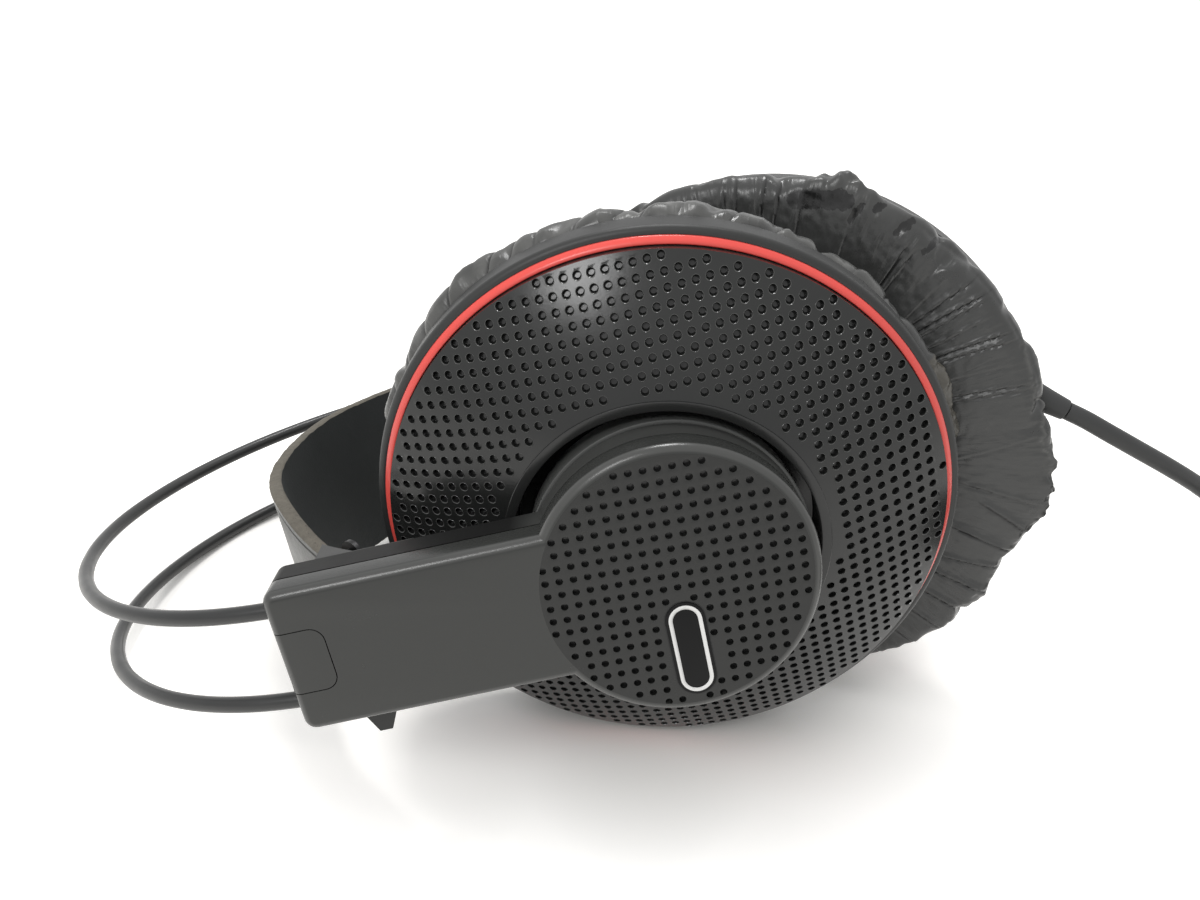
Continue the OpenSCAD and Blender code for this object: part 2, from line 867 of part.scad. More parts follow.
// Rivets stand square on the strap near each of its ends
module at_rivets(side) {
    for (y = [-rivet_spread, rivet_spread])
        if (side == right)
            translate([right_centre.x, strap_shift + y, right_centre.y])
                rotate([0, -strap_end_a - rivet_inset, 0])
                    translate([strap_right_r, 0, 0])
                        rotate([0, 90, 0])
                            children();
        else
            translate([left_centre.x - strap_left_r, strap_shift + y, left_end_z + rivet_inset])
                rotate([0, -90, 0])
                    children();
}

module strap() {
    color([0.3, 0.3, 0.29])
        on_head()
            difference() {
                in_head_plane(strap_y, strap_w)
                    strap_outline();
                for (side = [right, left])
                    at_rivets(side)
                        cylinder(r = rivet_r + soft_gap, h = 4 * strap_t, center = true, $fn = 32);
            }
}

rivet_l = 1.8;
rivet_face = -strap_t / 2 - soft_gap;
module bracket_rivets(side) {
    color("silver")
        on_head()
            at_rivets(side) {
                translate([0, 0, rivet_face - rivet_head_t])
                    cylinder(r = rivet_head_r, h = rivet_head_t, $fn = 32);
                translate([0, 0, rivet_face - eps])
                    cylinder(r = rivet_r, h = strap_t / 2 + rivet_l - rivet_face, $fn = 32);
            }
}

// Bracket: a plate that slides along the arm, a wedge out to the strap and a tab past the arm's edge
bracket_reach = 9;
bracket_inset = 0.9;
bracket_w = arm_w / 2 - bracket_inset - strap_y;
tab_drop = 3.2;
tab_l = 5.2;
tab_tip_l = 2.2;
module bracket_wedge(side) {
    intersection() {
        on_arm_in_head(side)
            translate([-arm_t - bracket_gap - bracket_reach, strap_y, bracket_z])
                cube([bracket_reach, bracket_w, bracket_l]);
        in_head_plane(strap_y, bracket_w)
            bracket_outside(side);
    }
}

module bracket_catch() {
    translate([-arm_t - bracket_gap - eps, -catch_w / 2, bracket_z + wire_clear])
        cube([catch_d, catch_w, catch_l]);
}

module bracket_plate() {
    translate([-arm_t - bracket_gap - plate_t, strap_y, bracket_z])
        cube([plate_t, bracket_w, bracket_l]);
    translate([-arm_t - bracket_gap - plate_t, strap_y + eps, bracket_z + bracket_l])
        rotate([0, 90, 0])
            linear_extrude(plate_t)
                polygon([
                    [0, 0],
                    [tab_l, 0],
                    [(tab_l + tab_tip_l) / 2, -tab_drop],
                    [(tab_l - tab_tip_l) / 2, -tab_drop]
                ]);
}

// Everything outside the strap's outer face
module bracket_outside(side) {
    if (side == right)
        difference() {
            translate(right_centre)
                square(3 * strap_right_r);
            translate(right_centre)
                circle(r = strap_right_r + strap_t / 2 + soft_gap, $fn = 180);
        }
    else
        translate(left_centre - [4 * strap_left_r + strap_t / 2, 3 * strap_left_r])
            square([3 * strap_left_r, 6 * strap_left_r]);
}

module strap_bracket(side) {
    color([0.17, 0.17, 0.17])
        on_head()
            difference() {
                union() {
                    bracket_wedge(side);
                    on_arm_in_head(side) {
                        bracket_plate();
                        bracket_catch();
                    }
                }
                at_rivets(side)
                    translate([0, 0, -4 * strap_t])
                        cylinder(r = rivet_r, h = 4.5 * strap_t + rivet_l, $fn = 32);
            }
}

module elastic() {
    color("black")
        translate([elastic_x, elastic_y, peg_z + peg_l])
            cylinder(r = elastic_r, h = bracket_z - peg_z - peg_l, $fn = 24);
}

// Cable: strain relief on the left cup, free stretch, stored coil, lead and plug
relief_l = 9;
relief_r = 2.9;
relief_tip_r = 2.3;
relief_y = 3;
relief_slant = 35;
relief_lift = 0.4;
relief_h = (shell_top + shell_front) / 2 + relief_lift;
relief_start = sqrt(pow(rim_r, 2) - pow(relief_y, 2)) - 2.2;
module strain_relief() {
    color([0.12, 0.12, 0.12])
        on_cup(left)
            difference() {
                translate([relief_start, relief_y, relief_h])
                    rotate([0, 90, -relief_slant])
                        cylinder(r1 = relief_r, r2 = relief_tip_r, h = relief_l, $fn = 48);
                disc(rim_r + relief_seat, 2 * shell_front, -shell_front);
            }
}

function relief_at(d) = [relief_start + d * cos(relief_slant), relief_y - d * sin(relief_slant), relief_h];
function relief_point(d) = lie(arm_to_head(cup_to_arm(relief_at(relief_l + d), left), left)) + place;
relief_seat = 0.02;
relief_gap = 0.3;

cable_r = cable_d / 2;
coil_centre = spot + [149.6, -16.6, 0];
coil_turns = (coil_loops - (coil_layers - 1) / 2) / coil_layers;
coil_in_r = coil_mid_r - coil_turns * coil_step / 2;
coil_out_r = coil_mid_r + coil_turns * coil_step / 2;
tie_t = 0.8;
tie_gap = 0.2;
tie_w = 7;
coil_base = cable_r + tie_t + tie_gap;
route_points = [
    [78.6, 2.4, 59.5],
    [86.6, 4.4, 55.5],
    [95.1, 6.4, 51],
    [103.1, 8.4, 45.5],
    [110.1, 9.9, 38.5],
    [116.1, 10.9, 30.5],
    [121.1, 11.9, 22],
    [126.6, 12.4, 14],
    [132.6, 12.9, 7.5],
    [138.6, 13.2, 3.9]
];
run_in = 3;
coil_exit = [1, 0, 0];
coil_start = [coil_centre.x - cable_d, coil_centre.y + coil_out_r, coil_base];
cable_path = concat(
    [relief_point(relief_gap), relief_point(4), relief_point(9)],
    [for (p = route_points) p + spot],
    [coil_start - run_in * coil_exit, coil_start]
);

// Coil: spirals in and out by layers, climbing in the half turn where it reverses
climb_turn = 0.5;
layer_span = coil_turns + climb_turn;
loop_rings = 24;
function smooth(t) = t * t * (3 - 2 * t);
function coil_at(q) = let (
        layer = min(floor(q / layer_span), coil_layers - 1),
        s = q - layer * layer_span,
        out = layer % 2 == 1,
        spiral = min(s / coil_turns, 1),
        climb = smooth(max(0, (s - coil_turns) / climb_turn)),
        r = coil_in_r + (out ? spiral : 1 - spiral) * (coil_out_r - coil_in_r),
        a = 90 - 360 * q
    ) [coil_centre.x + r * cos(a), coil_centre.y + r * sin(a), coil_base + coil_rise * (layer + climb)];
coil_rings = coil_loops * loop_rings;
coil_body = [for (i = [0:coil_rings]) coil_at(i / loop_rings)];
coil_last = coil_body[coil_rings];
coil_path = concat([coil_start], coil_body, [coil_last + cable_d * coil_exit]);
// Tube along a path; each ring stands square to the path and level across it
function unit(v) = v / norm(v);
function heading(path, i) = unit(path[min(i + 1, len(path) - 1)] - path[max(i - 1, 0)]);
function tube_points(path, r, sides) = [for (i = [0:len(path) - 1])
    let (t = heading(path, i), across = unit(cross(t, [0, 0, 1])), over = cross(across, t))
        for (k = [0:sides - 1])
            path[i] + r * (across * cos(360 * k / sides) + over * sin(360 * k / sides))];
function tube_faces(count, sides) = concat(
    [for (i = [0:count - 2], k = [0:sides - 1])
        let (a = i * sides + k, b = i * sides + (k + 1) % sides, c = b + sides, d = a + sides)
            each [[a, b, c], [a, c, d]]],
    [for (k = [1:sides - 2]) [0, k + 1, k]],
    [for (k = [1:sides - 2]) [0, k, k + 1] + (count - 1) * sides * [1, 1, 1]]
);
module tube(path, r, sides) {
    polyhedron(tube_points(path, r, sides), tube_faces(len(path), sides));
}

module cable() {
    color([0.28, 0.29, 0.29])
        tube(cable_path, cable_r, 8);
}

module cable_coil() {
    color([0.28, 0.29, 0.29])
        tube(coil_path, cable_r, 6);
}

plug_r = 4.5;
plug_l = 24;
plug_boot_l = 9;
plug_boot_r = 2.8;
plug_boot_flare = 0.6;
plug_at = spot + [186.6, -14.6, plug_r];
lead_points = [
    [161.6, 12.8, 14],
    [168.1, 11.4, 12.8],
    [174.6, 7.9, 10.8],
    [180.1, 2.4, 8.8],
    [184.1, -4.1, 6.8],
    [186.2, -9.6, 5.2]
];
lead_start = coil_last + cable_d * coil_exit;
plug_run_in = [0, 2, 0];
lead_path = concat(
    [lead_start, lead_start + run_in * coil_exit],
    [for (p = lead_points) p + spot],
    [plug_at + plug_run_in, plug_at]
);
module plug_lead() {
    color([0.28, 0.29, 0.29])
        tube(lead_path, cable_r, 8);
}

// Band round the coil, standing across its turns
tie_a = -60;
tie_x0 = sqrt(pow(coil_in_r - cable_r, 2) - pow(tie_w / 2, 2)) - tie_gap;
tie_x1 = coil_out_r + cable_r + tie_gap;
tie_z1 = coil_base + (coil_layers - 1) * coil_rise + cable_r + tie_gap;
module coil_tie() {
    color("black")
        translate([coil_centre.x, coil_centre.y, 0])
            rotate([0, 0, tie_a])
                translate([0, tie_w / 2, 0])
                    rotate([90, 0, 0])
                        linear_extrude(tie_w)
                            difference() {
                                translate([tie_x0 - tie_t, 0])
                                    square([tie_x1 - tie_x0 + 2 * tie_t, tie_z1 + tie_t]);
                                translate([tie_x0, tie_t])
                                    square([tie_x1 - tie_x0, tie_z1 - tie_t]);
                            }
}

module on_plug() {
    translate(plug_at)
        rotate([90, 0, 0])
            children();
}

module plug_body() {
    color([0.1, 0.1, 0.1])
        on_plug() {
            cylinder(r1 = plug_boot_r, r2 = plug_boot_r + plug_boot_flare, h = plug_boot_l + eps);
            translate([0, 0, plug_boot_l])
                cylinder(r = plug_r, h = plug_l - plug_boot_l);
        }
}

// 3.5 mm three-contact jack
jack_r = 1.75;
jack_l = 14;
jack_tip_l = 2.5;
jack_neck_r = 1.1;
jack_shoulder = 0.6;
jack_bulge = 0.9;
jack_bulge_r = 1.6;
jack_point_r = 0.4;
module plug_jack() {
    color("gold")
        on_plug()
            translate([0, 0, plug_l])
                rotate_extrude()
                    polygon([
                        [0, 0],
                        [jack_r, 0],
                        [jack_r, jack_l - jack_tip_l - jack_shoulder],
                        [jack_neck_r, jack_l - jack_tip_l],
                        [jack_bulge_r, jack_l - jack_tip_l + jack_bulge],
                        [jack_point_r, jack_l],
                        [0, jack_l]
                    ]);
}

upper_wire();
lower_wire();
strap();
on_arm(right) arm_cover();  // right_arm_cover
on_arm(right) arm_back();  // right_arm_back
on_arm(right) badge();  // right_badge
on_arm(right) end_insert();  // right_end_insert
on_arm(right) wire_clamp();  // right_wire_clamp
on_arm(right) arm_screws();  // right_arm_screws
on_arm(right) ball_stud();  // right_ball_stud
on_arm(right) elastic();  // right_elastic
on_ball(right) stud_pin();  // right_stud_pin
on_ball(right) pivot_ball();  // right_pivot_ball
on_cup(right) ball_retainer();  // right_ball_retainer
on_cup(right) retainer_screws();  // right_retainer_screws
on_cup(right) dome_cover();  // right_dome_cover
on_cup(right) trim_ring();  // right_trim_ring
on_cup(right) cup_shell();  // right_cup_shell
on_cup(right) shell_screws();  // right_shell_screws
on_cup(right) baffle();  // right_baffle
on_cup(right) driver_frame();  // right_driver_frame
on_cup(right) driver_magnet();  // right_driver_magnet
on_cup(right) diaphragm();  // right_diaphragm
on_cup(right) voice_coil();  // right_voice_coil
on_cup(right) driver_cloth();  // right_driver_cloth
on_cup(right) ear_cushion();  // right_ear_cushion
strap_bracket(right);  // right_strap_bracket
bracket_rivets(right);  // right_bracket_rivets
on_arm(left) arm_cover();  // left_arm_cover
on_arm(left) arm_back();  // left_arm_back
on_arm(left) badge();  // left_badge
on_arm(left) end_insert();  // left_end_insert
on_arm(left) wire_clamp();  // left_wire_clamp
on_arm(left) arm_screws();  // left_arm_screws
on_arm(left) ball_stud();  // left_ball_stud
on_arm(left) elastic();  // left_elastic
on_ball(left) stud_pin();  // left_stud_pin
on_ball(left) pivot_ball();  // left_pivot_ball
on_cup(left) ball_retainer();  // left_ball_retainer
on_cup(left) retainer_screws();  // left_retainer_screws
on_cup(left) dome_cover();  // left_dome_cover
on_cup(left) trim_ring();  // left_trim_ring
on_cup(left) cup_shell();  // left_cup_shell
on_cup(left) shell_screws();  // left_shell_screws
on_cup(left) baffle();  // left_baffle
on_cup(left) driver_frame();  // left_driver_frame
on_cup(left) driver_magnet();  // left_driver_magnet
on_cup(left) diaphragm();  // left_diaphragm
on_cup(left) voice_coil();  // left_voice_coil
on_cup(left) driver_cloth();  // left_driver_cloth
on_cup(left) ear_cushion();  // left_ear_cushion
strap_bracket(left);  // left_strap_bracket
bracket_rivets(left);  // left_bracket_rivets
strain_relief();
cable();
cable_coil();
plug_lead();
coil_tie();
plug_body();
plug_jack();
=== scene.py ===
from math import atan2, ceil, cos, hypot, pi, radians, sin, sqrt

import bpy
import numpy as np
from mathutils import Matrix, Vector, noise


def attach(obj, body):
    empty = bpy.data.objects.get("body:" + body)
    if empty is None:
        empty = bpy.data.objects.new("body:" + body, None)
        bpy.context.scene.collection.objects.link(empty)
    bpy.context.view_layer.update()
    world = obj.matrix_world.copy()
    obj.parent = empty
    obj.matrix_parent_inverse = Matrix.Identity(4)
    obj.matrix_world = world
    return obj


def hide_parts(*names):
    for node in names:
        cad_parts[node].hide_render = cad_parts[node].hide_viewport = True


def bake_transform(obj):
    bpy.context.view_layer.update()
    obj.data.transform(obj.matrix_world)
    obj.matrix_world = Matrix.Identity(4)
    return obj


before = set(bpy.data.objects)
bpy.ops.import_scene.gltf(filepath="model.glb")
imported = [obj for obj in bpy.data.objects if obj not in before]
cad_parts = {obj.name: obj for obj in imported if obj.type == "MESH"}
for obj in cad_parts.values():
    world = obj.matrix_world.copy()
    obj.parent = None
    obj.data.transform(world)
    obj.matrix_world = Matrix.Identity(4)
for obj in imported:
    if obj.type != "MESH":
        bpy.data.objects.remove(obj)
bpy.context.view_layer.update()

sides = ("right", "left")

# frames in millimetres, as the model was built
lying = {
    "place": (29.04, -7.52, 50.0062),
    "roll": 7.1,
    "pitch": 18.4,
    "yaw": 8.7,
    "rack": 14,
    "halfGap": 46,
    "lean": 15.4,
    "ballDrop": 18.5,
    "ballHeight": 7.2,
    "toe": {"right": -6, "left": -12},
    "tilt": {"right": -7.4, "left": 0.7},
}


def turn(axis, degrees):
    return Matrix.Rotation(radians(degrees), 4, axis)


def shift(x, y, z):
    return Matrix.Translation((x, y, z))


def headMatrix():
    lie = turn("Z", -lying["yaw"]) @ turn("Y", -lying["pitch"]) @ turn("X", -lying["roll"])
    return shift(*lying["place"]) @ lie @ turn("Z", -90) @ turn("X", 90)


def armMatrix(side):
    own = shift(lying["halfGap"], 0, 0) @ turn("Y", lying["lean"])
    if side == "left":
        own = shift(0, 0, -lying["rack"]) @ Matrix.Scale(-1, 4, (1, 0, 0)) @ own
    return headMatrix() @ own


def cupMatrix(side):
    ball = shift(-lying["ballDrop"], 0, 0) @ turn("Y", lying["toe"][side])
    cup = turn("Z", lying["tilt"][side]) @ turn("Y", 90) @ shift(0, 0, -lying["ballHeight"])
    return armMatrix(side) @ ball @ cup


flatToArm = Matrix(((0, 0, 1, 0), (1, 0, 0, 0), (0, 1, 0, 0), (0, 0, 0, 1)))


def flatMatrix(side):
    return armMatrix(side) @ flatToArm


# modelling helpers
def clearSelection():
    if bpy.context.object and bpy.context.object.mode != "OBJECT":
        bpy.ops.object.mode_set(mode="OBJECT")
    bpy.ops.object.select_all(action="DESELECT")


def start(name, add, **settings):
    clearSelection()
    add(**settings)
    obj = bpy.context.object
    obj.name = name
    obj.data.name = name
    return obj


def pick(obj):
    clearSelection()
    obj.select_set(True)
    bpy.context.view_layer.objects.active = obj


def edit(obj, select="SELECT"):
    pick(obj)
    bpy.ops.object.mode_set(mode="EDIT")
    bpy.ops.mesh.select_all(action=select)


def leave():
    bpy.ops.object.mode_set(mode="OBJECT")


def points(obj):
    co = np.empty(len(obj.data.vertices) * 3)
    obj.data.vertices.foreach_get("co", co)
    return co.reshape(-1, 3)


def setPoints(obj, co):
    obj.data.vertices.foreach_set("co", np.asarray(co, float).ravel())
    obj.data.update()


def applyModifiers(obj):
    pick(obj)
    for modifier in list(obj.modifiers):
        bpy.ops.object.modifier_apply(modifier=modifier.name)


def smooth(obj, degrees=32):
    pick(obj)
    bpy.ops.object.shade_smooth_by_angle(angle=radians(degrees))
    return obj


def tidyMesh(obj):
    edit(obj)
    bpy.ops.mesh.remove_doubles(threshold=1e-4)
    bpy.ops.mesh.normals_make_consistent(inside=False)
    leave()


def joinInto(obj, *others):
    clearSelection()
    for other in others:
        other.select_set(True)
    obj.select_set(True)
    bpy.context.view_layer.objects.active = obj
    bpy.ops.object.join()
    return obj


def copyOf(obj, name):
    new = obj.copy()
    new.data = obj.data.copy()
    new.name = name
    new.data.name = name
    bpy.context.scene.collection.objects.link(new)
    return new


def settle(obj, matrix):
    obj.data.transform(Matrix.Scale(0.001, 4) @ matrix)
    if matrix.determinant() < 0:
        obj.data.flip_normals()
    obj.data.update()
    return obj


def dress(obj, look):
    obj.data.materials.clear()
    obj.data.materials.append(look)


def setValues(obj, name, values):  # one number for each point of the mesh
    obj.data.attributes.new(name, "FLOAT", "POINT").data.foreach_set("value", values)


def bothSides(obj, name, matrixOf, body, nodes, look):
    made = []
    for side in sides:
        piece = copyOf(obj, side + name)
        settle(piece, matrixOf(side))
        finishPiece(piece, side + "_" + body, [side + "_" + node for node in nodes], look)
        made.append(piece)
    bpy.data.objects.remove(obj)
    return made


def finishPiece(obj, body, nodes, look):
    dress(obj, look)
    if nodes:
        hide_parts(*nodes)
    if body:
        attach(obj, body)


def arc(centre, r, a0, a1, n):
    turns = [radians(a0 + (a1 - a0) * i / n) for i in range(n + 1)]
    return [(centre[0] + r * cos(a), centre[1] + r * sin(a)) for a in turns]


def rounded(path, radius, n=3):  # corners of an open outline rounded off
    most = 0.45  # of the shorter side of a corner
    out = [path[0]]
    for a, b, c in zip(path, path[1:], path[2:]):
        a, b, c = Vector(a), Vector(b), Vector(c)
        r = min(radius, (a - b).length * most, (c - b).length * most)
        p, q = b + (a - b).normalized() * r, b + (c - b).normalized() * r
        for i in range(n + 1):
            t = i / n
            out.append(tuple(p * (1 - t) ** 2 + b * 2 * t * (1 - t) + q * t ** 2))
    return out + [path[-1]]


def lathe(name, outline, steps=144):
    obj = start(name, bpy.ops.mesh.primitive_plane_add, size=1)
    bpy.ops.object.mode_set(mode="EDIT")
    bpy.ops.mesh.select_all(action="SELECT")
    bpy.ops.mesh.merge(type="CENTER")
    bpy.ops.transform.translate(value=(outline[0][0], 0, outline[0][1]))
    for a, b in zip(outline, outline[1:]):
        step = (b[0] - a[0], 0, b[1] - a[1])
        bpy.ops.mesh.extrude_region_move(TRANSFORM_OT_translate={"value": step})
    bpy.ops.mesh.select_all(action="SELECT")
    bpy.ops.mesh.spin(steps=steps, angle=2 * pi, center=(0, 0, 0), axis=(0, 0, 1))
    leave()
    tidyMesh(obj)
    return smooth(obj)


def spline(path, per):  # smooth line through points
    p = [Vector(q) for q in path]
    p = [p[0] * 2 - p[1]] + p + [p[-1] * 2 - p[-2]]
    out = []
    for a, b, c, d in zip(p, p[1:], p[2:], p[3:]):
        bend, swing = 2 * a - 5 * b + 4 * c - d, 3 * b - a - 3 * c + d
        for i in range(per):
            t = i / per
            out.append(0.5 * ((2 * b) + (c - a) * t + bend * t ** 2 + swing * t ** 3))
    return out + [p[-2]]


def tube(name, path, radius, resolution=3):
    obj = start(name, bpy.ops.curve.primitive_nurbs_path_add)
    curve = obj.data
    curve.splines.clear()
    line = curve.splines.new("POLY")
    line.points.add(len(path) - 1)
    for point, at in zip(line.points, path):
        point.co = (*at, 1)
    curve.dimensions = "3D"
    curve.bevel_depth = radius
    curve.bevel_resolution = resolution
    curve.use_fill_caps = True
    obj.location = (0, 0, 0)
    pick(obj)
    bpy.ops.object.convert(target="MESH")
    obj = bpy.context.object
    obj.name = name
    obj.data.name = name
    tidyMesh(obj)
    return smooth(obj, 50)


def prism(name, outline, low, high, bevel=0.0, segments=3, seam=0.0):
    obj = start(name, bpy.ops.mesh.primitive_circle_add, vertices=len(outline), radius=1, fill_type="NGON")
    setPoints(obj, [(x, y, low) for x, y in outline])
    edit(obj)
    bpy.ops.mesh.extrude_region_move(TRANSFORM_OT_translate={"value": (0, 0, high - low)})
    bpy.ops.mesh.select_all(action="SELECT")
    bpy.ops.mesh.normals_make_consistent(inside=False)
    leave()
    for level, size, count in ((high, bevel, segments), (low, seam, 1)):
        if not size:
            continue
        edit(obj, "DESELECT")
        leave()
        co = points(obj)
        for e in obj.data.edges:
            e.select = bool(np.all(np.abs(co[list(e.vertices), 2] - level) < 1e-5))
        bpy.ops.object.mode_set(mode="EDIT")
        bpy.ops.mesh.select_mode(type="EDGE")
        bpy.ops.mesh.bevel(offset=size, offset_type="OFFSET", segments=count, profile=0.5)
        bpy.ops.mesh.select_mode(type="VERT")
        leave()
    return smooth(obj)


def carve(obj, operation, *tools):
    for tool in tools:
        modifier = obj.modifiers.new("carve", "BOOLEAN")
        modifier.operation = operation
        modifier.solver = "EXACT"
        modifier.object = tool
        applyModifiers(obj)
        bpy.data.objects.remove(tool)


# materials
def addNode(tree, kind, inputs, **settings):  # sockets among the inputs are linked, numbers are set
    made = tree.nodes.new("ShaderNode" + kind)
    for name, value in settings.items():
        setattr(made, name, value)
    for name, value in inputs.items():
        if isinstance(value, bpy.types.NodeSocket):
            tree.links.new(value, made.inputs[name])
        else:
            made.inputs[name].default_value = value
    return made


def combine(tree, operation, *values):
    return addNode(tree, "Math", dict(enumerate(values)), operation=operation).outputs[0]


def blendColours(tree, amount, under, over):
    return addNode(tree, "Mix", {0: amount, 6: under, 7: over}, data_type="RGBA").outputs[2]


def ramp(tree, value, low, high, most=1.0, least=0.0):
    ends = {"From Min": low, "From Max": high, "To Min": least, "To Max": most}
    return addNode(tree, "MapRange", {"Value": value, **ends}).outputs["Result"]


def cloud(tree, place, scale, detail=2.0, rough=0.5):
    shape = {"Scale": scale, "Detail": detail, "Roughness": rough}
    return addNode(tree, "TexNoise", {"Vector": place, **shape}).outputs["Fac"]


def attribute(tree, name, output="Fac"):
    return addNode(tree, "Attribute", {}, attribute_name=name).outputs[output]


def paintOver(tree, shader, colour, amount):  # a second colour over what the shader has
    socket = shader.inputs["Base Color"]
    under = socket.links[0].from_socket
    tree.links.new(blendColours(tree, amount, under, (*colour, 1)), socket)


surface = {
    "mottleCloud": (6, 0.65),
    "spotCloud": (8, 0.7),
    "spotEdge": 0.08,
    "patch": (0.3, 0.7),
    "glossiest": 0.03,
    "grainDetail": 3,
    "grainDepth": 0.0002,
    "finish": {"Metallic": 0.0, "Specular IOR Level": 0.4, "Coat Weight": 0.0, "Sheen Weight": 0.0},
}
bareMetal = {"Metallic": 1.0}


def shine(level):
    return {"Specular IOR Level": level}


def material(
    name, colour, rough, grain=(4000, 0.05), mottle=(60, 0.1), roughMottle=0.08, spots=None, finish=None
):
    made = bpy.data.materials.new(name)
    made.use_nodes = True
    tree = made.node_tree
    shader = tree.nodes["Principled BSDF"]
    place = addNode(tree, "TexCoord", {}).outputs["Object"]
    broad = cloud(tree, place, mottle[0], *surface["mottleCloud"])
    dark, pale = [(*[c * (1 + way * mottle[1]) for c in colour], 1) for way in (-1, 1)]
    tree.links.new(blendColours(tree, broad, dark, pale), shader.inputs["Base Color"])
    if spots:  # dust or wear of another colour
        speck = cloud(tree, place, spots["scale"], *surface["spotCloud"])
        low, high = spots["from"], spots["from"] + surface["spotEdge"]
        paintOver(tree, shader, spots["colour"], ramp(tree, speck, low, high, spots["amount"]))
    least, most = max(surface["glossiest"], rough - roughMottle), min(1, rough + roughMottle)
    tree.links.new(ramp(tree, broad, *surface["patch"], most, least), shader.inputs["Roughness"])
    fine = cloud(tree, place, grain[0], surface["grainDetail"])
    relief = {"Height": fine, "Strength": grain[1], "Distance": surface["grainDepth"]}
    tree.links.new(addNode(tree, "Bump", relief).outputs["Normal"], shader.inputs["Normal"])
    for socket, value in {**surface["finish"], **(finish or {})}.items():
        shader.inputs[socket].default_value = value
    return made


def parts(made):
    found = {n.type: n for n in made.node_tree.nodes}
    return made.node_tree, found["BSDF_PRINCIPLED"], found["BUMP"], found["TEX_COORD"].outputs["Object"]


dust = {"scale": 900, "from": 0.72, "amount": 0.35, "colour": (0.09, 0.09, 0.086)}
mouldedArm = ((5200, 0.09), (45, 0.1), 0.05, dust)
mouldedDome = ((2600, 0.04), (40, 0.12))
turned = ((120, 0.06), 0.08, None, bareMetal)
armPlastic = material("armPlastic", (0.0345, 0.0358, 0.0338), 0.25, *mouldedArm)
# paler than the arm's plastic: painted light on a collar that sits in shade
collarPaintedLight = material("collarPaintedLight", (0.075, 0.077, 0.074), 0.3, *mouldedArm)
domePlastic = material("domePlastic", (0.018, 0.0188, 0.0182), 0.21, *mouldedDome, 0.05, dust, shine(0.42))
dishPlastic = material("dishPlastic", (0.024, 0.0246, 0.0242), 0.24, *mouldedDome, 0.06, dust)
shellPlastic = material("shellPlastic", (0.026, 0.0266, 0.026), 0.45, (3800, 0.1), (55, 0.12), 0.06, dust)
trimRed = material("trimRed", (0.93, 0.105, 0.088), 0.24, (1800, 0.03), (70, 0.08), 0.06)
wireCoat = (0.08, None, {"Coat Weight": 0.1})
wireMetal = material("wireMetal", (0.026, 0.0268, 0.0268), 0.36, (2400, 0.06), (90, 0.15), *wireCoat)
badgeGloss = ((1500, 0.03), (80, 0.1), 0.05, None, shine(0.16))
blackGloss = material("blackGloss", (0.0045, 0.0045, 0.0048), 0.3, *badgeGloss)
whitePaint = material("whitePaint", (0.9, 0.9, 0.89), 0.45, (3000, 0.05), (300, 0.04), 0.05)
cableRubber = material("cableRubber", (0.04, 0.041, 0.041), 0.55, (3000, 0.14), (120, 0.12), 0.06)
innerPlastic = material("innerPlastic", (0.018, 0.018, 0.018), 0.6, (3000, 0.1))
steel = material("steel", (0.5, 0.5, 0.51), 0.32, (2200, 0.06), *turned)
darkSteel = material("darkSteel", (0.035, 0.035, 0.036), 0.4, (2200, 0.06), *turned)
alloy = material("alloy", (0.56, 0.56, 0.57), 0.4, (2600, 0.08), *turned)
copper = material("copper", (0.62, 0.26, 0.12), 0.35, (9000, 0.2), (100, 0.1), 0.08, None, bareMetal)
gold = material("gold", (0.83, 0.62, 0.26), 0.22, (1500, 0.03), (100, 0.05), 0.05, None, bareMetal)
palePlastic = material("ballPlastic", (0.62, 0.61, 0.58), 0.4, (2600, 0.05))
film = material("film", (0.42, 0.42, 0.4), 0.25, (900, 0.2))
cloth = material("cloth", (0.012, 0.012, 0.012), 0.9, (7000, 0.6), finish={"Sheen Weight": 0.2})
rubber = material("rubber", (0.02, 0.02, 0.02), 0.7, (4000, 0.15))

# pits get a painted highlight on their rims and painted shade towards their floors, and the disc's face is
# darker than the arm
pitPaint = {
    "face": ((0.01, 0.0105, 0.0098), (0, 1, 0.9)),
    "rim": ((0.2, 0.2, 0.195), (0.2, 1, 0.6)),
    "pit": ((0.01, 0.01, 0.01), (0.1, 0.8, 0.6)),
}
for look in (armPlastic, domePlastic):
    tree, shader, bump, place = parts(look)
    for name, (colour, span) in pitPaint.items():
        paintOver(tree, shader, colour, ramp(tree, attribute(tree, name), *span))

# solids that show as they are
cadLooks = {
    "arm_screws": steel,
    "wire_clamp": alloy,
    "ball_stud": steel,
    "stud_pin": steel,
    "pivot_ball": palePlastic,
    "ball_retainer": shellPlastic,
    "retainer_screws": steel,
    "shell_screws": steel,
    "baffle": innerPlastic,
    "driver_frame": innerPlastic,
    "driver_magnet": steel,
    "diaphragm": film,
    "voice_coil": copper,
    "strap_bracket": shellPlastic,
    "bracket_rivets": darkSteel,
    "coil_tie": rubber,
    "plug_body": cableRubber,
    "plug_jack": gold,
}
for node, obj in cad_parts.items():
    look = cadLooks.get(node) or cadLooks.get(node.partition("_")[2])
    if look:
        dress(obj, look)
